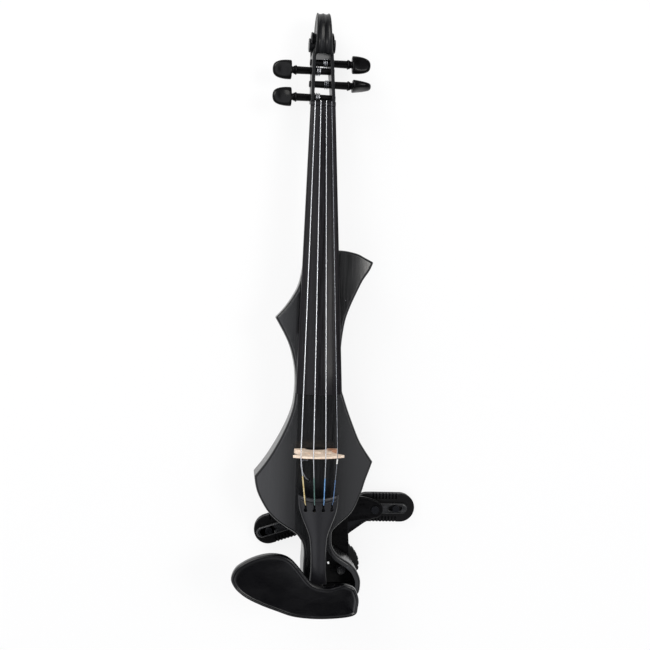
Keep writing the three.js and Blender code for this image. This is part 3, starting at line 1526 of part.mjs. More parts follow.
function padBaseGeometry(place, turn, setBack) {
  const { middle, start, half } = padSpan(place, turn, setBack);
  const top = baseBottom + padBaseThickness;
  const [under, over] = [baseBottom - cutOverrun, top + cutOverrun];
  const tools = [upright(place.x, place.y, under, over, padScrewRadius + seatGap)];
  for (const side of [-1, 1]) {
    for (let rib = 0; rib < ribCount; rib += 1) {
      const along = (rib - (ribCount - 1) / 2) * ribPitch;
      const out = side * (padWidth / 2 - ribBand / 2 + cutOverrun / 2);
      const groove = new THREE.BoxGeometry(ribGap, ribBand + cutOverrun, ribDepth * 2);
      groove.translate(along, out, top).rotateZ(turn).translate(middle.x, middle.y, 0);
      tools.push(groove);
    }
  }
  return cut(plate(strapShape(start.x, start.y, turn, 2 * half, padWidth), baseBottom, top), ...tools);
}

// The foam has a crowned underside and drawn-in sides
const padRings = [[0.5, 0], [0.82, 0.02], [0.94, 0.16], [1, 0.45], [1, 0.72], [0.96, 1]];

function padFoamGeometry(place, turn, setBack) {
  const { start, half } = padSpan(place, turn, setBack);
  const edge = strapShape(0, 0, 0, 2 * half, padWidth).getPoints(7);
  const unique = edge.filter((point, index) => index === 0 || point.distanceTo(edge[index - 1]) > seatGap);
  if (unique[0].distanceTo(unique[unique.length - 1]) < seatGap) unique.pop();
  const rings = padRings.map(([size, up]) => unique.map((point) => {
    const inset = (padWidth / 2) * (1 - size);
    const end = point.x < half ? 0 : 2 * half;
    const spine = new THREE.Vector2(end, 0);
    const inner = point.clone().sub(spine).multiplyScalar(1 - (2 * inset) / padWidth).add(spine);
    inner.rotateAround(new THREE.Vector2(), turn).add(start);
    return new THREE.Vector3(inner.x, inner.y, padThickness * up);
  }));
  return loft(rings);
}

// The whole instrument

add('body', bodyGeometry(), materials.satinBlack);
add('neck', neckGeometry(), materials.satinBlack);
add('fingerboard', fingerboardGeometry(), materials.boardBlack);
add('nut', nutGeometry(), materials.boardBlack);
for (const name of stringNames) {
  const peg = add(`peg_${name}`, pegGeometry(name), materials.polishedBlack, pegPlace(name));
  if (pegSide[name] < 0) peg.rotation.z = Math.PI;
  const steel = name === 'e' ? materials.plainSteel : materials.steelString;
  const route = windingRoute(name);
  add(`winding_${name}`, windingGeometry(name), steel);
  add(`string_${name}`, stringGeometry(name), steel);
  const gap = leastGap(route, stringDiameters[name], windingSteps / 2);
  console.log(`winding_${name}: least gap ${gap.toFixed(2)} mm`);
}
add('bridge', bridgeGeometry(), materials.maple);
add('bridge_pickup', pickupGeometry(), materials.brass);
add('pickup_lead', leadGeometry(), materials.blackPlastic);
add('tailpiece', tailpieceGeometry(), materials.tailBlack);
add('tailpiece_fret', tailFretGeometry(), materials.tailBlack);
add('tail_cord', tailCordGeometry(), materials.blackPlastic);
add('end_button', endButtonGeometry(), materials.polishedBlack);
add('control_panel', panelGeometry(), materials.blackPlastic);
add('volume_pot', potGeometry(), materials.blackSteel);
const knobPlace = new THREE.Vector3(knobX, knobY, panelTop + seatGap);
add('volume_knob', knobGeometry(), materials.blackPlastic, knobPlace);
add('indicator_lamp', lampGeometry(), materials.lampWhite);
const outputSocket = socketGeometry(outputPlaceX, outputSleeve, outputBore, outputLength - seatGap);
const headphoneSocket = socketGeometry(headphonePlaceX, headphoneSleeve, headphoneBore, tailWall);
add('output_socket', outputSocket, materials.blackSteel);
add('headphone_socket', headphoneSocket, materials.blackSteel);
add('rear_cover', coverGeometry(), materials.blackPlastic);
coverScrewPlaces().forEach(([x, y], index) => {
  const headHeight = coverThickness / 2;
  add(`cover_screw_${index + 1}`, screwGeometry(x, y, bodyBack - seatGap - headHeight, headHeight,
    coverScrewHeadRadius, coverScrewLength, coverScrewRadius), materials.blackSteel);
});
add('battery_door', doorGeometry(), materials.blackPlastic);
add('battery', batteryGeometry(), materials.batteryWrap);
add('battery_snap', snapGeometry(), materials.blackPlastic);
add('circuit_board', boardGeometry(), materials.greenBoard);
add('chin_rest', chinRestGeometry(), materials.polishedBlack);
add('chin_riser', riserGeometry(), materials.blackPlastic);
add('chin_clamp', clampGeometry(), materials.blackSteel);
for (const [name, x] of Object.entries(barrelPlaces)) {
  const place = new THREE.Vector3(x, bodyEnd - barrelSetback, clampTop + seatGap);
  add(`clamp_barrel_${name}`, barrelGeometry(), materials.blackSteel, place);
}
add('rest_plate', mountPlateGeometry(), materials.blackPlastic);
plateScrewPlaces().forEach(([x, y], index) => {
  add(`plate_screw_${index + 1}`, screwGeometry(x, y, plateBottom, plateScrewHeadHeight, plateScrewHead,
    plateScrewLength, plateScrewRadius), materials.blackSteel);
});
add('rest_nut', clampNutGeometry(), materials.blackSteel);
add('rest_wheel', wheelGeometry(), materials.blackRubber,
  new THREE.Vector3(wheelPlaceX, wheelY, barBottom - seatGap - wheelThickness));
add('rest_bar', barGeometry(), materials.blackPlastic);
for (const [side, pivot, turn, length, setBack] of [
  ['right', rightPivot, rightArmTurn, rightArmLength, rightPadSetback],
  ['left', leftPivot, Math.PI + leftArmTurn, leftArmLength, leftPadSetback],
]) {
  const place = padScrewPlace(pivot, turn, length);
  add(`arm_pin_${side}`, pinGeometry(pivot), materials.blackSteel);
  add(`rest_arm_${side}`, armGeometry(pivot, turn, length), materials.blackPlastic);
  add(`pad_screw_${side}`, padScrewGeometry(place), materials.blackSteel);
  add(`pad_base_${side}`, padBaseGeometry(place, turn, setBack), materials.blackRubber);
  add(`pad_foam_${side}`, padFoamGeometry(place, turn, setBack), materials.blackFoam);
}

// The origin is under the middle of the whole, on the table
const whole = new THREE.Box3().setFromObject(violin, true);
const middle = whole.getCenter(new THREE.Vector3());
violin.position.set(-middle.x, -middle.y, -whole.min.z);

export default violin;
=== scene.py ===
# %% [markdown]
# # An electric violin, dressed for a portrait
# The instrument lies on its back on a pale table and is seen from the front, as a shop shows it.
# Its solids were worked out beforehand and arrive as a frame. This lesson keeps every place and size
# of that frame. It gives each visible piece its true roundings, its finish and its wear.

# %% Load the frame
import json
import math
import bmesh
import bpy
from mathutils import Matrix, Vector
from mathutils.bvhtree import BVHTree

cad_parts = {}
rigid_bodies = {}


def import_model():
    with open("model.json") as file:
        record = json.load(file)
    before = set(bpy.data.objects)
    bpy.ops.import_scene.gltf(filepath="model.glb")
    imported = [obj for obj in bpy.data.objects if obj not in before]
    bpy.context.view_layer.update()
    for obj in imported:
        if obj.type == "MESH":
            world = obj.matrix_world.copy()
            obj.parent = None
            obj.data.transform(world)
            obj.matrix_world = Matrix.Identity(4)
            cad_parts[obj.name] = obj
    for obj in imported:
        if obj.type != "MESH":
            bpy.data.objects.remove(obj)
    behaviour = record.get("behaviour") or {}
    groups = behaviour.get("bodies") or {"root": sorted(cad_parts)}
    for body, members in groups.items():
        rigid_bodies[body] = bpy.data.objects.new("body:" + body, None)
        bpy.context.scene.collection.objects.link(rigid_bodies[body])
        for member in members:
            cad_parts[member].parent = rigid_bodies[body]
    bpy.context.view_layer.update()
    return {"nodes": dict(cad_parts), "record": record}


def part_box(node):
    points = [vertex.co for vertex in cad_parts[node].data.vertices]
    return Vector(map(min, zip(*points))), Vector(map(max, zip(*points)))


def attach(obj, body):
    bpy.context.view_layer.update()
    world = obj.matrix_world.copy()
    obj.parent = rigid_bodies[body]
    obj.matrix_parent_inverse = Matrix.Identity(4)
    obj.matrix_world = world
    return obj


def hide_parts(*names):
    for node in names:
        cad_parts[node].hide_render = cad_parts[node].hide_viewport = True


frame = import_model()

# %% [markdown]
# ## One ruler for the whole instrument
# A violin maker measures from the bridge: it stands at the middle of the belly, and the string length
# runs from it to the nut. So lengths along Y start at the bridge here, X starts at the centre line and
# heights start at the table. The bridge's own box in the frame gives both zero lines. Sizes are written
# in millimetres, because that is what a caliper reads, and one function turns them to metres.

# %% Ruler
MM = 0.001
bridge_low, bridge_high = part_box("bridge")
CENTRE_X = (bridge_low.x + bridge_high.x) / 2
BRIDGE_Y = (bridge_low.y + bridge_high.y) / 2
GAP = 0.3
FACE = bridge_low.z / MM - GAP


def at(x, y, z=0.0):
    """A point in metres from maker's millimetres."""
    return Vector((CENTRE_X + x * MM, BRIDGE_Y + y * MM, z * MM))


def mm_box(node):
    """Lowest and highest corner of a node in maker's millimetres."""
    low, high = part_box(node)
    return [Vector(((p.x - CENTRE_X) / MM, (p.y - BRIDGE_Y) / MM, p.z / MM)) for p in (low, high)]


def spot_of(node):
    """Middle of a node seen from above, in maker's millimetres."""
    low, high = mm_box(node)
    return (low.x + high.x) / 2, (low.y + high.y) / 2, 0


print("face height", round(FACE, 2), "mm, centre line at", round(CENTRE_X / MM, 2), round(BRIDGE_Y / MM, 2))

# %% [markdown]
# ## Meshes from rings
# Almost every piece of a violin is a section that changes along a line: body, neck, pegs, tailpiece.
# Such a piece is a stack of rings with quads between them. Faces could also come from primitives, but
# a ring gives each edge its real rounding, and that rounding is what catches the light.

# %% Ring tools
def linked(name, data):
    """A new object in the scene."""
    made = bpy.data.objects.new(name, data)
    bpy.context.scene.collection.objects.link(made)
    return made


def ring_faces(rings, count):
    """Quads between rings of equal count, with a flat cap on both ends."""
    faces = []
    for ring in range(rings - 1):
        for side in range(count):
            a, b = ring * count + side, ring * count + (side + 1) % count
            faces.append((a, b, b + count, a + count))
    return faces + [tuple(range(count - 1, -1, -1)), tuple(range((rings - 1) * count, rings * count))]


def loft(rings, name="tool"):
    """A closed solid through rings of points in metres, with every face turned outwards."""
    mesh = bpy.data.meshes.new(name)
    mesh.from_pydata([tuple(p) for ring in rings for p in ring], [], ring_faces(len(rings), len(rings[0])))
    bm = bmesh.new()
    bm.from_mesh(mesh)
    bmesh.ops.remove_doubles(bm, verts=bm.verts, dist=1e-6)
    bmesh.ops.recalc_face_normals(bm, faces=bm.faces)
    bm.to_mesh(mesh)
    bm.free()
    return linked(name, mesh)


def table_value(table, place):
    """Value between the rows of a table of place and value, straight between them."""
    if place <= table[0][0]:
        return table[0][1]
    for (start, low), (end, high) in zip(table, table[1:]):
        if place <= end:
            return low + (high - low) * (place - start) / (end - start)
    return table[-1][1]


def full_turn(count):
    """Even angles round a circle."""
    return [2 * math.pi * k / count for k in range(count)]


def sweep_rings(line, radius, sides):
    """Round sections along a line of points in metres. radius is a number or one number per point."""
    rings, across = [], None
    for i, point in enumerate(line):
        along = (line[min(i + 1, len(line) - 1)] - line[max(i - 1, 0)]).normalized()
        if across is None:
            across = along.orthogonal().normalized()
        across = (across - along * across.dot(along)).normalized()
        third = along.cross(across)
        r = radius[i] if isinstance(radius, list) else radius
        rings.append([point + (across * math.cos(t) + third * math.sin(t)) * r
                      for t in full_turn(sides)])
    return rings


def turned_rings(profile, place, sides=48, axis="Z"):
    """Rings of a piece turned on a lathe. profile holds radius and distance along the axis, in mm."""
    rings = []
    for radius, along in profile:
        ring = []
        for t in full_turn(sides):
            c, s = radius * math.cos(t), radius * math.sin(t)
            ring.append(at(*(Vector(place) + {"Z": Vector((c, s, along)), "X": Vector((along, c, s)),
                                              "Y": Vector((s, along, c))}[axis])))
        rings.append(ring)
    return rings


# %% [markdown]
# ## Cutting and joining
# Holes, slots and pockets are cut as a workshop cuts them: a tool body is moved into the blank and
# taken away. Blender's solver for closed solids does this, and the result is kept as a plain mesh.
# Every finished piece then takes the place of its part in the frame: it gets the finish of that part's
# slot, rides on the same body, and where a rounding is given, its sharp edges are rounded.

# %% Cutting, rounding and putting in place
def prism(shape, low, high):
    """A flat shape of X and Y in maker's millimetres, pushed up between two heights."""
    return loft([[at(x, y, z) for x, y in shape] for z in (low, high)])


def block(x0, x1, y0, y1, z0, z1):
    """A rectangular tool in maker's millimetres."""
    return prism([(x0, y0), (x1, y0), (x1, y1), (x0, y1)], z0, z1)


def rod(place, radius, low, high, axis="Z", sides=40, far_radius=None):
    """A round tool between two distances along an axis through a place."""
    far = radius if far_radius is None else far_radius
    return loft(turned_rings([(radius, low), (far, high)], place, sides, axis))


def combine(blank, tools, operation="DIFFERENCE"):
    """Cut or join tools into a blank, one after another, and drop the tools."""
    for tool in tools:
        change = blank.modifiers.new("change", "BOOLEAN")
        change.operation, change.object, change.solver = operation, tool, "MANIFOLD"
        bpy.context.view_layer.update()
        done = bpy.data.meshes.new_from_object(blank.evaluated_get(bpy.context.evaluated_depsgraph_get()))
        blank.modifiers.clear()
        blank.data = done
        bpy.data.objects.remove(tool)
    return blank


def soften(piece, width, segments=3, angle=35):
    """A small rounding on every sharp edge, as tooling and handling leave it, with flat faces kept flat."""
    bevel = piece.modifiers.new("rounding", "BEVEL")
    bevel.width, bevel.segments, bevel.limit_method = width * MM, segments, "ANGLE"
    bevel.angle_limit, bevel.use_clamp_overlap = math.radians(angle), False
    piece.modifiers.new("even_shading", "WEIGHTED_NORMAL").keep_sharp = False
    return piece


def settle(piece, limit=0.3):
    """Keeps the rounding as plain mesh. A point that it threw off the surface goes back onto it."""
    before = BVHTree.FromPolygons([v.co for v in piece.data.vertices],
                                  [f.vertices[:] for f in piece.data.polygons])
    bpy.context.view_layer.update()
    done = bpy.data.meshes.new_from_object(piece.evaluated_get(bpy.context.evaluated_depsgraph_get()))
    for point in done.vertices:
        nearest, _, _, away = before.find_nearest(point.co)
        if away > limit * MM:
            point.co = nearest
    piece.modifiers.clear()
    piece.data = done


slot_of = {row["node"]: row["material_slot"] for row in frame["record"]["subparts"]}
body_of = {node: body for body, nodes in frame["record"]["behaviour"]["bodies"].items() for node in nodes}


def wear(piece, node, angle=40, material=None):
    """Shades a piece smooth below an angle and gives it a material, by default the finish of a node's slot,
    and the node's body.
    """
    piece.data.shade_smooth()
    piece.data.set_sharp_from_angle(angle=math.radians(angle))
    piece.data.materials.clear()
    piece.data.materials.append(material or finishes[slot_of[node]])
    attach(piece, body_of[node])
    return piece


def install(piece, node, angle=40, rounding=0.0, edges=50, segments=2, material=None):
    """Puts a drawn piece in the place of a node, with its sharp edges rounded when a rounding is given."""
    wear(piece, node, angle, material)
    if rounding:
        soften(piece, rounding, segments, edges)
    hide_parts(node)
    return piece

# %% [markdown]
# ## Camera, table and light
# The camera looks down on the front from about 0.78 m, a little from the bass side and a little from
# the scroll, and is rolled so far that the head leans to the right. The table is a white sweep. What
# the camera sees of it is white, as in a catalogue, yet a share of its true shading is kept, so that
# the instrument casts a soft shadow. A satin black piece is seen almost only by what it mirrors, so the
# studio is built for its reflections: bright boxes to the left and right, a dark band overhead between
# them, and dimmer ends. The edges of that band are what models the curves.

# %% Camera
LENS = 46.1
AIM = at(5.72, 119.1, FACE)
TOWARDS_CAMERA = Vector((-0.12, 0.052, 1.0))
DISTANCE = 774.9
LEAN = math.radians(-1.143)

camera_data = bpy.data.cameras.new("portrait_camera")
camera_data.lens, camera_data.sensor_width = LENS, 36
camera_data.clip_start, camera_data.clip_end = 0.01, 50
camera = linked("portrait_camera", camera_data)
toward = -TOWARDS_CAMERA.normalized()
right = (Vector((1, 0, 0)) - toward * toward.x).normalized()
upward = right.cross(toward)
right, upward = (right * math.cos(LEAN) - upward * math.sin(LEAN),
                 upward * math.cos(LEAN) + right * math.sin(LEAN))
camera.matrix_world = Matrix.Translation(AIM + TOWARDS_CAMERA * DISTANCE * MM) @ Matrix(
    (right, upward, -toward)).transposed().to_4x4()
bpy.context.scene.camera = camera
bpy.context.scene.view_settings.view_transform = "Standard"
print("camera at", [round(v, 3) for v in camera.location])


# %% Colour and node tools
def linear(code):
    """A web colour as the linear red, green, blue and alpha that Blender computes with."""
    parts = [int(code[i:i + 2], 16) / 255 for i in (1, 3, 5)]
    return tuple(c / 12.92 if c <= 0.04045 else ((c + 0.055) / 1.055) ** 2.4 for c in parts) + (1.0,)


def add_node(tree, kind, inputs=None, **settings):
    """One node with its settings. Each input gets a value, or the socket or node that feeds it."""
    made = tree.nodes.new("ShaderNode" + kind)
    for key, value in settings.items():
        setattr(made, key, value)
    for socket, source in (inputs or {}).items():
        if isinstance(source, bpy.types.Node):
            source = source.outputs[0]
        if isinstance(source, bpy.types.NodeSocket):
            tree.links.new(source, made.inputs[socket])
        else:
            made.inputs[socket].default_value = source
    return made


# %% Table
# The table reaches 30 m to each side, and lies a hair below the feet so that no two faces coincide.
REACH, HAIR = 30.0, 0.0004
table_mesh = bpy.data.meshes.new("table_top")
corners = [(x * REACH, y * REACH, -HAIR) for x, y in ((-1, -1), (1, -1), (1, 1), (-1, 1))]
table_mesh.from_pydata(corners, [], [(0, 1, 2, 3)])
linked("table_top", table_mesh)

SHADOW_SHARE = 0.16
sweep_paper = bpy.data.materials.new("white_sweep_paper")
sweep_paper.use_nodes = True
tree = sweep_paper.node_tree
tree.nodes.clear()
paths = add_node(tree, "LightPath")
seen = add_node(tree, "Math", {0: paths.outputs["Is Camera Ray"], 1: paths.outputs["Is Glossy Ray"]},
                operation="MAXIMUM")
seen = add_node(tree, "Math", {0: seen, 1: paths.outputs["Is Transmission Ray"]}, operation="MAXIMUM")
share = add_node(tree, "Math", {0: seen, 1: 1 - SHADOW_SHARE}, operation="MULTIPLY")
paper = add_node(tree, "BsdfDiffuse", {"Color": linear("#f4f4f4")})
glow = add_node(tree, "Emission", {"Color": (1, 1, 1, 1), "Strength": 1.0})
mixed = add_node(tree, "MixShader", {0: share, 1: paper, 2: glow})
add_node(tree, "OutputMaterial", {"Surface": mixed})
table_mesh.materials.append(sweep_paper)

# %% Studio light
world = bpy.data.worlds.new("soft_studio")
bpy.context.scene.world = world
world.use_nodes = True
tree = world.node_tree
tree.nodes.clear()
# The dark band overhead: narrow across, and only near the top of the sky.
BAND_PLACE, BAND_EDGES = 0.11, {"From Min": 0.2, "From Max": 0.12}
direction = add_node(tree, "TexCoord")
split = add_node(tree, "SeparateXYZ", {0: direction.outputs["Generated"]})
aside = add_node(tree, "Math", {0: split.outputs["X"], 1: split.outputs["Z"]}, operation="DIVIDE")
off_axis = add_node(tree, "Math", {0: aside, 1: BAND_PLACE}, operation="SUBTRACT")
off_axis = add_node(tree, "Math", {0: off_axis}, operation="ABSOLUTE")
between = add_node(tree, "MapRange", {**BAND_EDGES, "Value": off_axis}, interpolation_type="SMOOTHSTEP")
high_up = add_node(tree, "MapRange", {"From Min": 0.72, "From Max": 0.9, "Value": split.outputs["Z"]},
                   interpolation_type="SMOOTHSTEP")
ceiling = add_node(tree, "Math", {0: between, 1: high_up}, operation="MULTIPLY")
# The bright boxes: stronger to the left, and fading towards the walls and both ends.
boxes = add_node(tree, "MapRange", {"From Min": -0.2, "From Max": 0.3, "To Min": 2.2, "To Max": 1.25,
                                    "Value": split.outputs["X"]})
low_walls = add_node(tree, "MapRange", {"From Min": 0.5, "From Max": 1.0, "To Min": 1.0, "To Max": 0.3,
                                        "Value": off_axis}, interpolation_type="SMOOTHSTEP")
length_off = add_node(tree, "Math", {0: split.outputs["Y"]}, operation="ABSOLUTE")
ends = add_node(tree, "MapRange", {"From Min": 0.3, "From Max": 0.75, "To Min": 1.0, "To Max": 0.3,
                                   "Value": length_off}, interpolation_type="SMOOTHSTEP")
level = add_node(tree, "Math", {0: boxes, 1: low_walls}, operation="MULTIPLY")
level = add_node(tree, "Math", {0: level, 1: ends}, operation="MULTIPLY")
level = add_node(tree, "Mix", {0: ceiling, 2: level, 3: 0.01}, data_type="FLOAT")
# The camera itself sees plain white.
paths = add_node(tree, "LightPath")
level = add_node(tree, "Mix", {0: paths.outputs["Is Camera Ray"], 2: level, 3: 1.0}, data_type="FLOAT")
sky = add_node(tree, "Background", {"Color": linear("#f9faff"), "Strength": level})
add_node(tree, "OutputWorld", {"Surface": sky})


def softbox(name, place, aim, size, power):
    """A square softbox that faces a point. Both places are in metres."""
    lamp = bpy.data.lights.new(name, "AREA")
    lamp.shape, lamp.size, lamp.energy = "SQUARE", size, power
    lamp.color = linear("#fffdf8")[:3]
    holder = linked(name, lamp)
    holder.location = place
    holder.rotation_euler = (Vector(aim) - Vector(place)).to_track_quat("-Z", "Y").to_euler()
    return holder


key_box = softbox("key_softbox", (-1.0, 1.2, 1.1), (0, 0, 0.05), size=0.9, power=15)
fill_box = softbox("fill_softbox", (1.02, 0.25, 1.85), (0, 0, 0.05), size=0.6, power=10)
print("lamps:", key_box.data.energy, "W and", fill_box.data.energy, "W")

# %% [markdown]
# ## Finishes
# Nearly everything here is black, but each black is another material. Lacquer, oiled wood, moulded
# plastic, rubber and foam differ in how sharply they mirror and in the relief of their skin. One
# function lays the ground of a finish: two close tones in a pattern of real size, a roughness that
# follows the pattern, its relief, and a lighter tone on convex edges, which is rubbed wear where hands
# and cloths touch and, on some finishes, a painted highlight. Each finish then only states its own
# facts, and a few add a pattern of their own.

# %% Finish tool
def finish(name, dark, light, rough, grain, relief, metallic=0.0, ior=1.5, edge_wear_and_highlight=None, coat=0.0,
           specular=0.5):
    """A material. dark and light are its two tones, rough the two roughnesses, grain the size of the
    pattern in mm along X, Y and Z and relief its depth in mm. The edge tone, if given, goes on convex
    edges: rubbed wear, and on some finishes a painted highlight."""
    material = bpy.data.materials.new(name)
    material.use_nodes = True
    tree = material.node_tree
    shader = tree.nodes["Principled BSDF"]
    shader.inputs["Metallic"].default_value = metallic
    shader.inputs["IOR"].default_value = ior
    shader.inputs["Coat Weight"].default_value = coat
    shader.inputs["Specular IOR Level"].default_value = specular
    places = add_node(tree, "TexCoord")
    scaled = add_node(tree, "Mapping", {"Scale": [1 / (g * MM) for g in grain],
                                        "Vector": places.outputs["Object"]})
    pattern = add_node(tree, "TexNoise", {"Scale": 1.0, "Detail": 5.0, "Roughness": 0.6,
                                          "Vector": scaled.outputs["Vector"]})
    clear = add_node(tree, "MapRange", {"From Min": 0.35, "From Max": 0.65, "Value": pattern.outputs["Fac"]})
    tone = add_node(tree, "Mix", {0: clear, 6: linear(dark), 7: linear(light)}, data_type="RGBA")
    colour = tone.outputs[2]
    if edge_wear_and_highlight:
        # Convex edges take the edge tone: rubbed wear, and on some finishes a painted highlight.
        edges = add_node(tree, "NewGeometry")
        rubbed = add_node(tree, "MapRange", {"From Min": 0.53, "From Max": 0.62, "To Max": 0.55,
                                             "Value": edges.outputs["Pointiness"]})
        colour = add_node(tree, "Mix", {0: rubbed, 6: colour, 7: linear(edge_wear_and_highlight)}, data_type="RGBA").outputs[2]
    gloss = add_node(tree, "MapRange", {"To Min": rough[0], "To Max": rough[1], "Value": clear})
    bump = add_node(tree, "Bump", {"Strength": 1.0, "Distance": relief * MM,
                                   "Height": pattern.outputs["Fac"]})
    tree.links.new(colour, shader.inputs["Base Color"])
    tree.links.new(gloss.outputs[0], shader.inputs["Roughness"])
    tree.links.new(bump.outputs[0], shader.inputs["Normal"])
    return material


def over(material, kind, size, code, low, high, share, **settings):
    """Lays a second pattern of real size over a finish, in its own tone, where the pattern is strong."""
    tree = material.node_tree
    shader = tree.nodes["Principled BSDF"]
    places = next(n for n in tree.nodes if n.type == "TEX_COORD")
    scaled = add_node(tree, "Mapping", {"Scale": [1 / (s * MM) for s in size],
                                        "Vector": places.outputs["Object"]})
    pattern = add_node(tree, kind, {"Scale": 1.0, "Vector": scaled.outputs["Vector"]}, **settings)
    value = pattern.outputs["Distance"] if "Distance" in pattern.outputs else pattern.outputs[0]
    mask = add_node(tree, "MapRange", {"From Min": low, "From Max": high, "To Max": share, "Value": value})
    below = shader.inputs["Base Color"].links[0].from_socket
    mixed = add_node(tree, "Mix", {0: mask, 6: below, 7: linear(code)}, data_type="RGBA")
    tree.links.new(mixed.outputs[2], shader.inputs["Base Color"])


# %% Lacquer
# Black satin lacquer sprayed over maple and flatted. The grain telegraphs through as faint upright
# lines, and the flatting leaves a soft, slightly streaked sheen. Edges are rubbed to a dark grey.
satin_lacquer = finish("satin_lacquer_over_maple", "#08090a", "#0e0f11", (0.2, 0.27), (1.1, 34, 3.0), 0.01,
                       ior=1.48, edge_wear_and_highlight="#34363a")
# Specks of dust, far apart.
over(satin_lacquer, "TexVoronoi", (17, 21, 17), "#8b8d92", 0.024, 0.016, 0.7, feature="F1")
# Neck and head are rubbed down further, so that the hand slides: less shine.
neck_lacquer = finish("rubbed_lacquer_over_maple", "#08090a", "#0e0f11", (0.26, 0.34), (1.1, 34, 3.0), 0.01,
                      ior=1.48, edge_wear_and_highlight="#2a2b2f", specular=0.28)

# %% Fingerboard wood
# Ebonised hardwood, planed, oiled and burnished by the fingers. Long dark and violet-grey streaks.
fingerboard_wood = finish("oiled_ebonised_wood", "#0b0a0c", "#19171b", (0.26, 0.36), (1.6, 90, 5.0), 0.01,
                          edge_wear_and_highlight="#3a383b", specular=0.16)
over(fingerboard_wood, "TexNoise", (0.5, 60, 2.0), "#302c31", 0.56, 0.72, 0.5)

# %% Polished wood
# Ebony turned and polished with wax for pegs and tail button: tight pores and a clear shine.
polished_ebony = finish("polished_ebony", "#050505", "#0a090a", (0.14, 0.22), (9, 0.7, 0.7), 0.006,
                        ior=1.52, edge_wear_and_highlight="#232225", specular=0.13)

# %% Maple
# Unvarnished bridge maple, knife cut. Pale cream with short brown ray flecks.
bridge_maple = finish("bare_bridge_maple", "#e6ccb4", "#f7e6d4", (0.5, 0.62), (5, 1.5, 0.9), 0.02, ior=1.45)
over(bridge_maple, "TexNoise", (0.9, 0.9, 0.35), "#b98a58", 0.6, 0.7, 0.6)

# %% Moulded blacks
# Tailpiece: glass-filled composite with an eroded mould skin, satin.
tail_composite = finish("satin_moulded_composite", "#121215", "#18181c", (0.3, 0.38), (0.5, 0.5, 0.5), 0.012,
                        edge_wear_and_highlight="#3c3c42", specular=0.4)
# Chin rest: the same family of resin, polished, with the haze that cloth and skin leave.
chin_resin = finish("polished_moulded_resin", "#060608", "#0a0a0c", (0.15, 0.2), (26, 18, 26), 0.0,
                    edge_wear_and_highlight="#26262a", specular=0.45)
# ABS covers, riser and panel: fine spark-eroded grain, drawn a little coarser so that it shows.
abs_black = finish("grained_black_abs", "#060607", "#0c0c0d", (0.42, 0.58), (0.35, 0.35, 0.35), 0.02,
                   ior=1.53, edge_wear_and_highlight="#1d1d1f", specular=0.25)
knob_abs = finish("fine_black_abs", "#0b0b0d", "#131315", (0.34, 0.46), (0.3, 0.3, 0.3), 0.01,
                  ior=1.53, edge_wear_and_highlight="#45454a", specular=0.4)
# Shoulder rest bar and arms: glass-filled nylon, with flow marks and a soft sheen.
rest_nylon = finish("glass_filled_nylon", "#040405", "#080809", (0.26, 0.4), (7, 3, 7), 0.01,
                    ior=1.53, edge_wear_and_highlight="#26272a", specular=0.07)
# The two arms come from a polished mould: the same nylon, glossier, with lighter tones and edges that are
# painted light on the arms.
lit_arm_nylon = finish("polished_nylon_with_painted_light", "#0e0f10", "#17181a", (0.2, 0.3), (7, 3, 7), 0.006,
                   ior=1.53, edge_wear_and_highlight="#4a4b4f", specular=0.5)
cord_nylon = finish("drawn_black_nylon", "#101011", "#19191a", (0.28, 0.4), (0.4, 1.2, 0.4), 0.008, ior=1.53)

# %% Rubber and foam
# Moulded rubber: matt.
grip_rubber = finish("moulded_rubber", "#080808", "#101010", (0.58, 0.78), (0.6, 0.6, 0.6), 0.02,
                     ior=1.52, edge_wear_and_highlight="#232324", specular=0.25)
# Ribbed pad rubber: its light edge tone is a painted highlight along the rounded rib edges.
rest_rubber = finish("ribbed_rest_rubber", "#050505", "#0a0a0b", (0.34, 0.48), (0.8, 0.8, 0.8), 0.015,
                     ior=1.52, edge_wear_and_highlight="#56565a", specular=0.12)
# Closed-cell foam: cut cells, drawn a little larger than half a millimetre so that they show, and a
# dull, velvety look.
cell_foam = finish("closed_cell_foam", "#0a0a0b", "#141415", (0.85, 0.97), (0.9, 0.9, 0.9), 0.12, ior=1.45,
                   specular=0.3)
over(cell_foam, "TexVoronoi", (0.7, 0.7, 0.7), "#0a0a0a", 0.35, 0.1, 0.8, feature="F1")
cell_foam.node_tree.nodes["Principled BSDF"].inputs["Sheen Weight"].default_value = 0.25

# %% Metals
# Flat wound string: a ribbon of chrome steel round a core. Its turns are closer than a pixel and are
# drawn at about half a millimetre.
wound_steel = finish("flat_wound_chrome_steel", "#d3d5d9", "#dfe1e4", (0.22, 0.28), (2, 0.5, 2), 0.001,
                     metallic=1.0)
plain_steel = finish("drawn_plain_steel", "#8d9095", "#a5a8ad", (0.2, 0.3), (1, 9, 1), 0.002, metallic=1.0)
# Screws, sockets and clamp: steel with a black oxide skin, brushed thin on the edges. The strings' ends
# inside the tailpiece take the same black steel, as painted shade.
oxide_steel_and_painted_shade = finish("black_oxide_steel", "#161719", "#26272a", (0.3, 0.46), (0.6, 0.6, 2.5), 0.006,
                     metallic=1.0, edge_wear_and_highlight="#55575b")
pot_steel = finish("stamped_zinced_steel", "#6f7376", "#8e9295", (0.3, 0.45), (2.5, 2.5, 2.5), 0.008,
                   metallic=1.0, edge_wear_and_highlight="#b3b6b9")
pickup_brass = finish("rolled_brass", "#a9823f", "#c99f55", (0.26, 0.4), (0.4, 3, 0.4), 0.004, metallic=1.0)

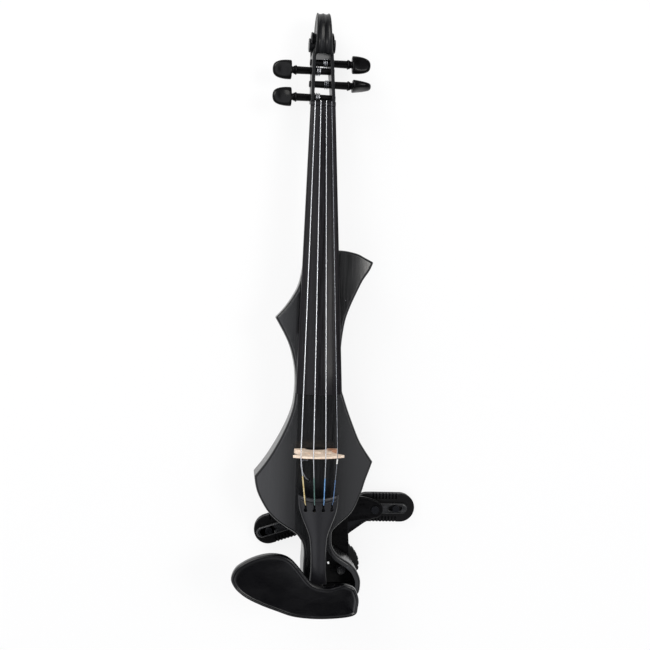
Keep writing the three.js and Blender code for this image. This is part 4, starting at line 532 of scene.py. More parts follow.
# %% Small parts
# The pickup lead wears a thin grey sheath, soft and a little shiny.
lead_sheath = finish("grey_lead_sheath", "#55565a", "#77787d", (0.22, 0.32), (0.8, 2, 0.8), 0.002)
lamp_milk = finish("milky_lamp_resin", "#dcdcd6", "#efefe9", (0.16, 0.24), (0.6, 0.6, 0.6), 0.0, ior=1.49,
                   coat=0.4)
battery_sleeve = finish("matt_tin_sleeve", "#3b3d42", "#4d5056", (0.3, 0.45), (4, 4, 4), 0.006, metallic=0.4,
                        edge_wear_and_highlight="#8a8c90")
# The lamp is lit: a pale glow that stays below the white of the table.
lamp_milk.node_tree.nodes["Principled BSDF"].inputs["Emission Color"].default_value = linear("#f4f6f4")
lamp_milk.node_tree.nodes["Principled BSDF"].inputs["Emission Strength"].default_value = 0.8
board_green = finish("solder_masked_board", "#12401f", "#1b5a30", (0.28, 0.4), (1.5, 1.5, 1.5), 0.01,
                     ior=1.55)
over(board_green, "TexBrick", (9, 7, 9), "#5f8a3f", 0.5, 0.49, 0.6)

# %% Finish of every node
finishes = {
    "satin_lacquer": satin_lacquer, "fingerboard_wood": fingerboard_wood, "polished_wood": polished_ebony,
    "maple": bridge_maple, "tailpiece_composite": tail_composite, "chin_plastic": chin_resin,
    "black_plastic": abs_black, "knob_plastic": knob_abs, "rest_plastic": rest_nylon,
    "cord_plastic": cord_nylon, "wheel_rubber": grip_rubber, "pad_rubber": rest_rubber,
    "pad_foam": cell_foam, "wound_steel": wound_steel, "plain_steel": plain_steel,
    "black_steel": oxide_steel_and_painted_shade, "pot_case": pot_steel, "pickup_brass": pickup_brass,
    "lamp_lens": lamp_milk, "battery_wrap": battery_sleeve, "board_resin": board_green,
}


def dress(node, width=0.2, segments=2):
    """Finish and lightly rounded edges for a part that keeps its own mesh."""
    piece = frame["nodes"][node]
    piece.data.materials.clear()
    piece.data.materials.append(finishes[slot_of[node]])
    if "custom_normal" in piece.data.attributes:
        piece.data.attributes.remove(piece.data.attributes["custom_normal"])
    piece.data.shade_smooth()
    piece.modifiers.clear()
    piece.modifiers.new("weld", "WELD").merge_threshold = 1e-6
    return soften(piece, width, segments)


for node in frame["nodes"]:
    dress(node)
frame["nodes"]["pickup_lead"].data.materials[0] = lead_sheath
print("finishes:", len(finishes), "for", len(frame["nodes"]), "nodes")

# %% [markdown]
# ## Body
# The body is a board of maple, sawn to a waisted outline with two horns and a loop at the tail, then
# lacquered. Its front is flat in the middle, falls away gently outside that, and ends in a small
# rounding, while the back has a larger one. Extruding the outline would lose all three. So the outline
# is moved inwards step by step as rings, front edge to back edge. At each sharp corner the moved lines
# are trimmed where they meet on the corner's middle line, as a carver's planes meet in a ridge.

# %% Outline of the body
BODY_LENGTH, BODY_TOP, HALF_WIDTH, BODY_DEPTH = 331.4, 189.4, 57.0, 36.0
BODY_END = BODY_TOP - BODY_LENGTH
FLAT_HALF, EDGE_DROP, FRONT_ROUND, CORNER_ROUND = 18.0, 3.6, 2.6, 1.4
# Share of the length from tail to top, and share of the half width, between one sharp corner and the next.
bass_edge = [
    [(0, 0.06), (0.004, 0.12), (0.015, 0.158), (0.036, 0.163), (0.088, 0.163), (0.13, 0.155),
     (0.157, 0.178), (0.178, 0.25), (0.191, 0.325), (0.205, 0.46), (0.226, 0.633), (0.25, 0.768),
     (0.277, 0.868), (0.305, 0.947), (0.331, 0.987), (0.352, 1)],
    [(0.352, 1), (0.383, 0.861), (0.416, 0.735), (0.456, 0.608), (0.496, 0.5), (0.53, 0.427),
     (0.562, 0.382), (0.605, 0.362), (0.648, 0.368), (0.683, 0.398), (0.722, 0.46), (0.757, 0.551),
     (0.806, 0.712)],
    [(0.806, 0.712), (0.835, 0.561), (0.87, 0.425), (0.903, 0.335), (0.948, 0.28), (1, 0.25)],
]
treble_edge = [
    [(0, 0.72), (0.004, 0.78), (0.015, 0.814), (0.037, 0.826), (0.055, 0.807), (0.078, 0.74),
     (0.096, 0.642), (0.111, 0.512), (0.126, 0.405), (0.151, 0.319), (0.18, 0.307), (0.193, 0.319),
     (0.203, 0.367), (0.218, 0.461), (0.238, 0.595), (0.26, 0.688), (0.304, 0.798), (0.338, 0.86),
     (0.367, 0.923), (0.393, 0.977)],
    [(0.393, 0.977), (0.428, 0.835), (0.457, 0.733), (0.498, 0.63), (0.544, 0.526), (0.581, 0.453),
     (0.604, 0.414), (0.65, 0.388), (0.696, 0.375), (0.73, 0.386), (0.768, 0.409), (0.806, 0.449),
     (0.842, 0.521), (0.878, 0.612), (0.916, 0.719), (0.945, 0.832), (0.969, 0.895)],
    [(0.969, 0.895), (0.981, 0.749), (0.991, 0.63), (0.998, 0.456), (1, 0.33)],
]


def spline(points, steps, closed=False):
    """Even steps between chosen points on the smooth curve that passes through all of them."""
    count = len(points)
    line = []
    for i in range(count if closed else count - 1):
        near = [points[(i + k) % count] if closed else points[min(max(i + k, 0), count - 1)]
                for k in (-1, 0, 1, 2)]
        a, b, c, d = (Vector(p) for p in near)
        for step in range(steps):
            t = step / steps
            line.append((b * 2 + (c - a) * t + (a * 2 - b * 5 + c * 4 - d) * t * t
                         + (b * 3 - a - c * 3 + d) * t ** 3) / 2)
    return line if closed else line + [Vector(points[-1])]


def smooth_table(table, steps=6):
    """A table of place and value with even steps on the smooth curve through its rows."""
    return [(p.x, p.y) for p in spline(table, steps)]


def edge_line(stretches, side, steps=5):
    """One edge from tail to top in mm, and the places of its sharp corners."""
    line, corners = [], []
    for stretch in stretches:
        curve = [Vector((side * out * HALF_WIDTH, BODY_END + up * BODY_LENGTH))
                 for up, out in spline(stretch, steps)]
        if line:
            corners.append(len(line) - 1)
            curve = curve[1:]
        line += curve
    return line, corners


def edge_at(line, y):
    """Distance of an edge from the centre line at one height on the body."""
    return table_value([(p.y, abs(p.x)) for p in line], y)


treble_line, treble_corners = edge_line(treble_edge, 1)
bass_line, bass_corners = edge_line(bass_edge, -1)
raw = treble_line + bass_line[::-1]
sharp = treble_corners + [len(raw) - 1 - c for c in bass_corners] + [len(treble_line)]


def round_corners(points, places, radius, steps=6):
    """A closed line with an arc at each sharp corner, and the new places of the arcs' middles."""
    made, middles = [], []
    for i, point in enumerate(points):
        near = [c for c in places if 0 < (points[c] - point).length < 1.2 * radius and c != i]
        if near and i not in places:
            continue
        if i not in places:
            made.append(point)
            continue
        before, after = points[i - 3], points[(i + 3) % len(points)]
        u, v = (before - point).normalized(), (after - point).normalized()
        half = math.acos(max(-1, min(1, u.dot(v)))) / 2
        centre = point + (u + v).normalized() * radius / math.sin(half)
        start, end = (point + w * radius / math.tan(half) - centre for w in (u, v))
        turn = start.angle_signed(end)
        for step in range(steps + 1):
            if step == steps // 2:
                middles.append(len(made))
            angle = -turn * step / steps
            made.append(centre + Vector((start.x * math.cos(angle) - start.y * math.sin(angle),
                                         start.x * math.sin(angle) + start.y * math.cos(angle))))
    return made, middles


outline, ridges = round_corners(raw, sharp, CORNER_ROUND)
# The two tight bends at the tail are trimmed like corners, too.
for spot in (Vector((45.0, BODY_END + 2.0)), Vector((-7.0, BODY_END + 1.4))):
    ridges.append(min(range(len(outline)), key=lambda i: (outline[i] - spot).length))


def moved_in(points, places, distance):
    """A closed line moved inwards, trimmed on the middle line of each corner."""
    count = len(points)
    normals = []
    for i in range(count):
        along = (points[(i + 1) % count] - points[i - 1]).normalized()
        normals.append(Vector((-along.y, along.x)))
    moved = [p + n * distance for p, n in zip(points, normals)]
    for corner in places:
        across = Vector((-normals[corner].y, normals[corner].x))
        meets, dropped = [], []
        for step in (1, -1):
            sign = math.copysign(1, (points[(corner + step * 3) % count] - points[corner]).dot(across))
            k = 1
            while sign * (moved[(corner + step * k) % count] - points[corner]).dot(across) < 0 and k < 60:
                dropped.append((corner + step * k) % count)
                k += 1
            if k > 1:
                a, b = moved[(corner + step * (k - 1)) % count], moved[(corner + step * k) % count]
                da, db = ((p - points[corner]).dot(across) for p in (a, b))
                meets.append(a + (b - a) * da / (da - db))
        if meets:
            moved[corner] = sum(meets, Vector((0, 0))) / len(meets)
            for i in dropped:
                moved[i] = moved[corner]
    return moved


print("outline points:", len(outline), "corners:", len(ridges))

# %% Blank of the body
depth_shares = [(0, 1), (0.42, 1), (0.52, 0.86), (0.62, 0.74), (0.8, 0.67), (1, 0.67)]
back_shares = [(0, 0), (0.34, 0.1), (0.5, 0.8), (0.6, 1), (0.74, 0.9), (0.86, 0.4), (1, 0.2)]


def depth_at(y):
    return BODY_DEPTH * table_value(depth_shares, (y - BODY_END) / BODY_LENGTH)


def fall_at(x, y):
    """Drop of the front outside its flat middle. It starts with a crease, softer on the treble horn."""
    horn = 0 if x < 0 else table_value([(60, 0), (120, 1)], y)
    crease = 0.5 - 0.45 * horn
    share = max(abs(x) - FLAT_HALF, 0) / (HALF_WIDTH - FLAT_HALF)
    return EDGE_DROP * (crease * share + (1 - crease) * share ** (2 + horn))


BACK_ROUND, BACK_ROUND_MORE = 6, 5
rings = []
for step in range(8):
    angle = step / 7 * math.pi / 2
    ring = moved_in(outline, ridges, FRONT_ROUND * (1 - math.sin(angle)))
    rings.append([Vector((p.x, p.y, -FRONT_ROUND * (1 - math.cos(angle)))) for p in ring])
# The back's rounding changes along the body, and is taken in steps of half a millimetre.
sizes = [BACK_ROUND + BACK_ROUND_MORE * table_value(back_shares, (p.y - BODY_END) / BODY_LENGTH)
         for p in outline]
for step in range(8):
    angle = step / 7 * math.pi / 2
    insets = [(size, moved_in(outline, ridges, size * (1 - math.cos(angle))))
              for size in sorted({round(s * 2) / 2 for s in sizes})]
    ring = []
    for i, size in enumerate(sizes):
        nearest = min(insets, key=lambda row: abs(row[0] - size))[1][i]
        ring.append(Vector((nearest.x, nearest.y, -depth_at(nearest.y) + size * (1 - math.sin(angle)))))
    rings.append(ring)

bm = bmesh.new()
rows = [[bm.verts.new(p) for p in ring] for ring in rings]
count = len(outline)
for low, high in zip(rows, rows[1:]):
    for i in range(count):
        bm.faces.new((low[i], low[(i + 1) % count], high[(i + 1) % count], high[i]))
bm.faces.new(rows[0])
bm.faces.new(rows[-1][::-1]).material_index = 1
bmesh.ops.remove_doubles(bm, verts=bm.verts, dist=0.004)
# Cross cuts give the two flat faces the points that let them bend.
for x in (17.6, 18, 18.4, 22, 26, 30, 34, 38, 42, 46, 50):
    for sign in (1, -1):
        bmesh.ops.bisect_plane(bm, geom=bm.verts[:] + bm.edges[:] + bm.faces[:], dist=1e-4,
                               plane_co=(sign * x, 0, 0), plane_no=(1, 0, 0))
for share in [0.42 + 0.02 * k for k in range(29)]:
    bmesh.ops.bisect_plane(bm, geom=bm.verts[:] + bm.edges[:] + bm.faces[:], dist=1e-4,
                           plane_co=(0, BODY_END + share * BODY_LENGTH, 0), plane_no=(0, 1, 0))
for vert in bm.verts:
    x, y, z = vert.co
    if all(face.material_index == 1 for face in vert.link_faces):
        z = -depth_at(y)
    if z > -FRONT_ROUND - 0.01:
        z -= fall_at(x, y)
    vert.co = at(x, y, FACE + z)
for face in bm.faces:
    face.material_index = 0
bmesh.ops.recalc_face_normals(bm, faces=bm.faces)
blank_mesh = bpy.data.meshes.new("body_blank")
bm.to_mesh(blank_mesh)
bm.free()
body_piece = linked("body_lacquered", blank_mesh)
print("blank:", len(blank_mesh.vertices), "points")

# %% [markdown]
# ## Workshop cuts in the body
# A channel for the neck's tongue, the open well for the controls, their bores, and at the back the
# pocket with a ledge for its cover. The well's wall follows the loop's outer edge at an even width.

# %% Cuts in the body
STRIP, TAIL_WALL, STEM_RIGHT, LOOP_TOP = 5.6, 4.6, 13.0, 48.0
WELL_FLOOR = FACE - 30
BACK = FACE - BODY_DEPTH


def well_line(inset, low, high):
    """A tool with the well's outline, between two heights."""
    bottom, left = BODY_END + TAIL_WALL + inset, STEM_RIGHT + inset
    line, span = [], LOOP_TOP / 40
    for step in range(44):
        y = BODY_END + span * step
        slope = (edge_at(treble_line, y + span) - edge_at(treble_line, y - span)) / (2 * span)
        reach = (STRIP + inset) / math.hypot(1, slope)
        x, up = edge_at(treble_line, y) - reach, y + reach * slope
        if x > left and up > bottom and (not line or up > line[-1][1] + span / 4):
            line.append((x, up))
    corner = 3.0
    foot, head = line[0][0], line[-1][1]
    arc = [(corner * math.sin(a), corner * math.cos(a)) for a in (0.4, 0.8, 1.2)]
    shape = [(left + corner, bottom), (foot - corner, bottom)]
    shape += [(foot - corner + s, bottom + corner - c) for s, c in arc]
    shape += [p for p in line if p[1] > bottom + corner]
    shape += [(left + 0.6, head - 1), (left, head - 4), (left, bottom + corner)]
    shape += [(left + corner - c, bottom + corner - s) for s, c in arc]
    return prism(shape, low, high)


BRIDGE_HEIGHT, NUT_Y, NUT_WIDTH, NUT_TOP = 33.5, 324.36, 4.6, FACE - 8
BRIDGE_TOP = FACE + BRIDGE_HEIGHT
BOARD_LENGTH, BOARD_EDGE, BOARD_ARCH, NECK_DEPTH = 268.5, 5, 42, 14
BOARD_END = NUT_Y - BOARD_LENGTH
WIDTH_AT_NUT, WIDTH_AT_END, CLEAR_AT_NUT, CLEAR_MORE = 23.6, 42.8, 0.9, 3.5


def string_height(y):
    return BRIDGE_TOP - (BRIDGE_TOP - NUT_TOP) * y / NUT_Y


def arch_drop(x, radius):
    """How far an arch of this radius has fallen at a distance from its crown."""
    return radius - math.sqrt(radius ** 2 - x ** 2)


def board_half(y):
    return (WIDTH_AT_NUT + (WIDTH_AT_END - WIDTH_AT_NUT) * (NUT_Y - y) / BOARD_LENGTH) / 2


def board_top(y):
    return string_height(y) - CLEAR_AT_NUT - CLEAR_MORE * (NUT_Y - y) / BOARD_LENGTH


def board_under(y):
    low, high = (board_top(end) - arch_drop(board_half(end), BOARD_ARCH) - BOARD_EDGE
                 for end in (BOARD_END, NUT_Y))
    return low + (high - low) * (y - BOARD_END) / BOARD_LENGTH


TONGUE_LENGTH, TONGUE_THICK = 78, 3.5
neck_start, tongue_end = BODY_TOP + GAP, BODY_TOP - TONGUE_LENGTH
channel_floor = board_under(neck_start) - TONGUE_THICK - 2 * GAP


def tongue_shape(start, end, wider, low, high=None):
    """A bar under the fingerboard's width, from a height up to another or to the board's underside."""
    return loft([[at(side * (board_half(y) + wider), y, z or board_under(y) - GAP) for side, z in
                  ((-1, low), (1, low), (1, high), (-1, high))] for y in (start, end)])


# Radii of the bores, depths of the pocket and its ledge, and the places of the two sockets.
POT_BORE, LEAD_BORE, BUTTON_BORE, OUTPUT_BORE, PHONES_BORE = 8.3, 1.5, 3.7, 5.5, 3.5
COVER_BORE, PLATE_BORE = 1.7, 1.9
POCKET_DEPTH, LEDGE_DEPTH, LEDGE_WIDTH = 22.3, 2.5, 6.8
SOCKET_X, SOCKET_Z, SOCKET_DEPTH = {"output_socket": 2, "headphone_socket": 24}, FACE - 17, 24
BUTTON_DEPTH, POCKET_INSET = 9.2, 6.5
knob_spot = (HALF_WIDTH * 0.519, BODY_END + BODY_LENGTH * 0.0634)
cover_low, cover_high = mm_box("rear_cover")
pocket = [cover_low.x + POCKET_INSET, cover_high.x - POCKET_INSET,
          cover_low.y + POCKET_INSET, cover_high.y - POCKET_INSET]
lead_spot = (-6, pocket[3] - 24.0 + 0.75, 0)
cuts = [
    tongue_shape(tongue_end - GAP, BODY_TOP + 2, GAP, channel_floor, FACE + 2),
    well_line(0, WELL_FLOOR, FACE + 2), rod((*knob_spot, 0), POT_BORE, BACK - 2, WELL_FLOOR + 2),
    block(*pocket, BACK - 8, BACK + POCKET_DEPTH),
    block(pocket[0] - LEDGE_WIDTH, pocket[1] + LEDGE_WIDTH, pocket[2] - LEDGE_WIDTH, pocket[3] + LEDGE_WIDTH,
          BACK - 8, BACK + LEDGE_DEPTH),
    rod(lead_spot, LEAD_BORE, BACK + 20, FACE + 2, sides=24),
    rod((SOCKET_X["output_socket"], 0, SOCKET_Z), OUTPUT_BORE, BODY_END - 2, BODY_END + SOCKET_DEPTH, "Y"),
    rod((SOCKET_X["headphone_socket"], 0, SOCKET_Z), PHONES_BORE, BODY_END - 2, BODY_END + 6.6, "Y"),
    rod(spot_of("end_button"), BUTTON_BORE, FACE - BUTTON_DEPTH - GAP, FACE + 2),
]
for kind, radius, count in (("cover_screw_%d", COVER_BORE, 4), ("plate_screw_%d", PLATE_BORE, 2)):
    for k in range(count):
        screw = kind % (k + 1)
        cuts.append(rod(spot_of(screw), radius, BACK - 2, mm_box(screw)[1].z + GAP, sides=20))
combine(body_piece, cuts)
settle(install(body_piece, "body", rounding=0.35))
print("body:", len(body_piece.data.vertices), "points after", len(cuts), "cuts")

# %% [markdown]
# ## Neck, pegbox and scroll
# Neck and head are carved from one piece of maple. The neck is a half round that deepens into a heel,
# the pegbox an open trough, and the scroll a band that winds up in a spiral while it grows wider. A
# carver cuts the spiral with gouges, which leaves a cove between band and web and two flutes along its
# back with a ridge between them. So the band's section is drawn once and swept round the spiral.

# %% Neck and pegbox
PEGBOX_WALL, PEGBOX_BACK = 3.2, 1.5
PEG_START, PEGBOX_LENGTH = NUT_Y + NUT_WIDTH, 48.4
PEG_END = PEG_START + PEGBOX_LENGTH
SCROLL_Y, SCROLL_Z = PEG_END + 9, 25.0
heel_shares = [(0, 1), (0.06, 0.72), (0.14, 0.36), (0.24, 0.12), (0.36, 0), (1, 0)]
heel_extra = board_under(neck_start) - NECK_DEPTH - (FACE - BODY_DEPTH * 0.67)
heel_curve = smooth_table(heel_shares)


def pegbox_front(y):
    """Height of the pegbox's open side, which falls away from the strings towards the scroll."""
    return NUT_TOP - 3.5 - 10 * (y - PEG_START) / PEGBOX_LENGTH


def pegbox_half(y):
    return 11.7 - 1.7 * (y - PEG_START) / PEGBOX_LENGTH


neck_rings = []
for step in range(41):
    y = neck_start + (PEG_START - neck_start) * step / 40
    half, top = board_half(y) - 0.8, board_under(min(y, NUT_Y)) - GAP
    depth = NECK_DEPTH + heel_extra * max(table_value(heel_curve, step / 40), 0)
    ring = [(-half, top), (half, top)]
    for side in range(25):
        angle = side / 24 * math.pi
        ring.append((half * math.cos(angle), top - 2 - (depth - 2) * math.sin(angle) ** 0.8))
    neck_rings.append([at(x, y, z) for x, z in ring])
neck_piece = loft(neck_rings, "neck_carved")

neck_back = board_under(NUT_Y) - GAP - NECK_DEPTH
back_curve = smooth_table([(0, 0), (0.28, 0.17), (0.55, 0.42), (0.8, 0.75), (0.92, 0.92), (1, 1)])
box_rings = []
for step in range(25):
    y = PEG_START - GAP + (SCROLL_Y - PEG_START + GAP) * step / 24
    fade = min(max((y - SCROLL_Y + 10) / 10, 0), 1)
    half, front = pegbox_half(y) - 4.6 * fade ** 2 * (3 - 2 * fade), pegbox_front(y)
    back = neck_back + (PEGBOX_BACK - neck_back) * table_value(back_curve, step / 24)
    corner = [(half - 0.5, front), (half, front - 0.5)] + [
        (half - 3 + 3 * math.cos(a), back + 3 - 3 * math.sin(a)) for a in (0, 0.39, 0.79, 1.18, 1.57)]
    box_rings.append([at(x, y, z) for x, z in corner + [(-x, z) for x, z in corner[::-1]]])
tongue = tongue_shape(tongue_end, neck_start + 2, -0.8, channel_floor + GAP)

# %% Scroll
SPIRAL_START, SPIRAL_STEP, BACK_REACH = 22, 3.08, 25
width_turns = [(0, 6.1), (1, 7.6), (2, 9.3), (3, 10), (5, 11.3), (6, 12.7)]


def scroll_radius(quarter):
    """Distance from the eye: an oval over the top, then a steady spiral, with a soft start at the back."""
    if quarter > 1:
        return SPIRAL_START - SPIRAL_STEP * (quarter - 1)
    angle, long = quarter * math.pi / 2, mm_box("neck")[1].y - SCROLL_Y
    short = BACK_REACH if quarter < 0 else SPIRAL_START
    oval = long * short / math.hypot(short * math.cos(angle), long * math.sin(angle))
    return oval - 32 * max(-0.8 - quarter, 0) ** 2


def scroll_point(quarter, radius, x):
    angle = quarter * math.pi / 2
    return at(x, SCROLL_Y + radius * math.cos(angle), SCROLL_Z + radius * math.sin(angle))


def band_section(quarter):
    """Section of the scroll's band: a ridge with a flute on each side, lit edges and a cove to the web."""
    outer, half = scroll_radius(quarter), table_value(width_turns, quarter)
    hollow, web = 1.7 * min(max((quarter + 0.3) / 0.6, 0), 1), 5.2
    side = [(outer - 0.15 * hollow, 0), (outer - hollow * 0.75, half * 0.24), (outer - hollow, half * 0.48),
            (outer - hollow * 0.7, half * 0.7), (outer, half - 0.9), (outer - 0.25, half - 0.25),
            (outer - 0.9, half), (outer - 2.6, half), (outer - 3.4, half - 0.35),
            (outer - 4.6, half - 0.42 * (half - web)), (outer - 6.2, half - 0.82 * (half - web)),
            (outer - 8.2, web), (max(outer - 9.6, 1.5), web - 0.4)]
    inner = [(max(r, 1.2), x) for r, x in side]
    return [scroll_point(quarter, r, x) for r, x in inner + [(r, -x) for r, x in inner[:0:-1]]]


START_TURN, END_TURN, TURN_STEPS, WEB_TURNS = -1.2, 5.0, 132, 3.9
EYE_RADIUS, EYE_HALF, WEB_HALF = 6.4, 12.7, 5.4
turns = [START_TURN + (END_TURN - START_TURN) * k / TURN_STEPS for k in range(TURN_STEPS + 1)]
bands = [loft([band_section(q) for q in turns[a:b]])
         for a, b in ((0, 46), (45, 90), (89, TURN_STEPS + 1))]
eye = rod((0, SCROLL_Y, SCROLL_Z), EYE_RADIUS, -EYE_HALF, EYE_HALF, "X", 48)
web_turns = [START_TURN + WEB_TURNS * k / 60 for k in range(61)]
web = loft([[scroll_point(q, scroll_radius(q) - 2.5, x) for q in web_turns] for x in (-WEB_HALF, WEB_HALF)])
box = combine(loft(box_rings),
              [rod((0, SCROLL_Y, SCROLL_Z), 10.6, *reach, "X", 64) for reach in ((5.2, 14), (-14, -5.2))])
combine(neck_piece, [tongue, box] + bands + [web, eye], "UNION")

# %% Slot and peg holes
slot_start, slot_end = PEG_START + GAP, PEG_END - 2.2
wide, narrow = (pegbox_half(y) - PEGBOX_WALL for y in (slot_start, slot_end))
slot_shape = [(-wide, slot_start + 0.8), (-wide + 0.8, slot_start), (wide - 0.8, slot_start),
              (wide, slot_start + 0.8), (narrow, slot_end - 2.2), (narrow - 0.6, slot_end - 0.6),
              (narrow - 2.2, slot_end), (-narrow + 2.2, slot_end), (-narrow + 0.6, slot_end - 0.6),
              (-narrow, slot_end - 2.2)]
tools = [prism(slot_shape, -2, NUT_TOP + 2)]
peg_y = {"g": PEG_START + 5.4, "d": PEG_START + 32.0, "a": PEG_START + 40.1, "e": PEG_START + 18.8}
peg_side = {"g": -1, "d": -1, "a": 1, "e": 1}
peg_place = {name: (0, y, pegbox_front(y) - 12) for name, y in peg_y.items()}
for name, side in peg_side.items():
    ends = (3.9, 3.4) if side < 0 else (3.4, 3.9)
    tools.append(rod(peg_place[name], ends[0], -14, 14, "X", 32, ends[1]))
tools.append(block(-24, 24, NUT_Y - 2, PEG_START, board_under(NUT_Y) - GAP, NUT_TOP + 2))
combine(neck_piece, tools)
settle(install(neck_piece, "neck", rounding=0.3, edges=45, material=neck_lacquer))
print("neck:", len(neck_piece.data.vertices), "points")

# %% [markdown]
# ## Fingerboard and nut
# The fingerboard's top is part of a cylinder, so that the bow can reach one string at a time, and its
# long edges are broken with a scraper. The nut is glued on behind it, with a shallow groove per string.

# %% Fingerboard and nut
def arched_ring(y, half, top, under, edge=0.7, steps=28):
    """A section with an arched top, rounded top edges and a flat underside."""
    ring = []
    for step in range(steps + 1):
        x = -half + edge + 2 * (half - edge) * step / steps
        ring.append((x, top - arch_drop(x, BOARD_ARCH)))
    side_top = top - arch_drop(half, BOARD_ARCH)
    right_edge = [(half - edge * (1 - math.sin(a)), side_top - edge * (1 - math.cos(a)))
                  for a in (0.5, 1.0, 1.57)]
    left_edge = [(-x, z) for x, z in right_edge[::-1]]
    ring = left_edge + ring + right_edge + [(half, under + 0.3), (half - 0.3, under), (-half + 0.3, under),
                                            (-half, under + 0.3)]
    return [at(x, y, z) for x, z in ring]


ends = [BOARD_END + d for d in (0, 0.15, 0.6)]
ends += [BOARD_END + (BOARD_LENGTH - GAP) * k / 12 for k in range(1, 13)]
tucks = [0.5, 0.15, 0] + [0] * 12
install(loft([arched_ring(y, board_half(y) - t, board_top(y) - t, board_under(y) + t)
              for y, t in zip(ends, tucks)], "fingerboard_planed"), "fingerboard", 35)

nut_rows = [(0.0, 0.35), (0.3, 0.0), (2.4, 0.0), (3.3, 0.25), (4.0, 0.8), (NUT_WIDTH - GAP, 1.6)]
install(loft([arched_ring(NUT_Y + along, 11.8, NUT_TOP - drop, board_under(NUT_Y), edge=0.5)
              for along, drop in nut_rows], "nut_grooved"), "nut", 35)
print("fingerboard and nut done")

# %% [markdown]
# ## Pegs
# A peg is turned: a tapered shaft and two beads as a collar. Its thumb piece is then carved flat, with
# a broad square shoulder and a rounded tip, and each face is dished with a gouge, which leaves a
# raised rim. The dish is made by pulling the two faces in, strongest in their middle.

# %% Pegs
PEG_SIDES, HEAD_START, HEAD_HALF, HEAD_THICK, HEAD_LENGTH = 44, 28.8, 9.0, 5.5, 18.5
peg_turn = {"g": 0.1, "d": -0.12, "a": -0.3, "e": 1.42}
head_rows = [(0.006, 0.4, 0.5), (0.012, 0.7, 0.74), (0.022, 0.88, 0.9), (0.042, 0.97, 0.98), (0.075, 1, 1),
             (0.16, 1, 0.98), (0.28, 1, 0.915), (0.4, 0.985, 0.845), (0.52, 0.95, 0.775),
             (0.64, 0.9, 0.705), (0.74, 0.83, 0.645), (0.82, 0.75, 0.59), (0.89, 0.64, 0.53),
             (0.94, 0.52, 0.465), (0.975, 0.36, 0.36), (0.993, 0.2, 0.22), (1, 0.06, 0.07)]


def peg_head_ring(along, wide, thick):
    """Section of the thumb piece at a share of its length. wide and thick are shares of its full sizes."""
    ring = []
    for angle in full_turn(PEG_SIDES):
        y = HEAD_HALF * wide * math.cos(angle)
        z = HEAD_THICK * thick * math.copysign(abs(math.sin(angle)) ** 0.85, math.sin(angle))
        inside = max(0.0, 1 - (abs(y) / (HEAD_HALF * wide * 0.78)) ** 3)
        hollow = 0.2 * inside * max(0.0, 1 - ((along - 0.46) / 0.46) ** 2) ** 2
        ring.append((HEAD_START + HEAD_LENGTH * along, y, z * (1 - hollow)))
    return ring


for name, side in peg_side.items():
    reach = pegbox_half(peg_y[name]) + 1.4
    shaft = [(0.01, -reach), (2.5, -reach), (3.0, -reach + 0.4), (3.1, -reach + 1.0), (3.6, 20.6),
             (3.62, 24.0), (4.0, 24.3), (4.4, 24.6), (4.6, 25.1), (4.5, 25.6), (4.1, 25.9), (3.6, 26.0),
             (3.9, 26.2), (4.1, 26.6), (3.9, 27.0), (3.4, 27.3), (3.2, 28.0), (3.3, 29.0)]
    cos_t, sin_t = math.cos(peg_turn[name]), math.sin(peg_turn[name])
    rings = []
    for radius, along in shaft:
        rings.append([(along, radius * math.cos(t), radius * math.sin(t)) for t in full_turn(PEG_SIDES)])
    rings += [peg_head_ring(*row) for row in head_rows]
    cx, cy, cz = peg_place[name]
    placed = []
    for ring in rings:
        row = []
        for x, y, z in ring:
            y, z = y * cos_t - z * sin_t, y * sin_t + z * cos_t
            row.append(at(cx + side * x, cy + side * y, cz + z))
        placed.append(row)
    install(loft(placed, "peg_%s_turned" % name), "peg_" + name, 50)
print("pegs done")

# %% [markdown]
# ## Bridge
# The bridge is cut from a wedge of maple: thick feet, a thin arched top, waisted sides, a heart and two
# kidney holes, all with the edges chamfered by knife. Its outline is filled, pushed out to a thickness
# and then narrowed towards the top, so the face that looks to the tail stays slightly raked.

# %% Bridge
bridge_side = [(1, 0.78), (0.9, 0.7), (0.72, 0.6), (0.61, 0.46), (0.555, 0.33), (0.6, 0.24), (0.79, 0.15),
               (0.866, 0.075), (0.866, 0), (0.455, 0), (0.4, 0.09), (0.25, 0.16), (0, 0.185)]
BRIDGE_HALF, BRIDGE_ARCH, FEET_HALF, FEET_THICK, TOP_THICK = 23.8, 42.0, 20.6, 4.6, 1.8
tip = BRIDGE_HEIGHT - arch_drop(BRIDGE_HALF, BRIDGE_ARCH)
arch = [(BRIDGE_HALF * k / 16, BRIDGE_HEIGHT - arch_drop(BRIDGE_HALF * k / 16, BRIDGE_ARCH))
        for k in range(17)]
# The feet have a width of their own.
flank = [(BRIDGE_HALF * out * (FEET_HALF / (BRIDGE_HALF * 0.866) if up < 0.24 else 1), tip / 0.78 * up + GAP)
         for out, up in bridge_side[1:]]
flank = smooth_table([arch[-1]] + flank[:7], 5)[1:] + flank[7:9] + smooth_table(flank[8:], 5)[1:]
half_shape = arch + flank
shape = half_shape + [(-x, z) for x, z in half_shape[-2:0:-1]]


def bridge_thickness(z):
    """From the thick feet to the thin top."""
    return FEET_THICK + (TOP_THICK - FEET_THICK) * z / BRIDGE_HEIGHT


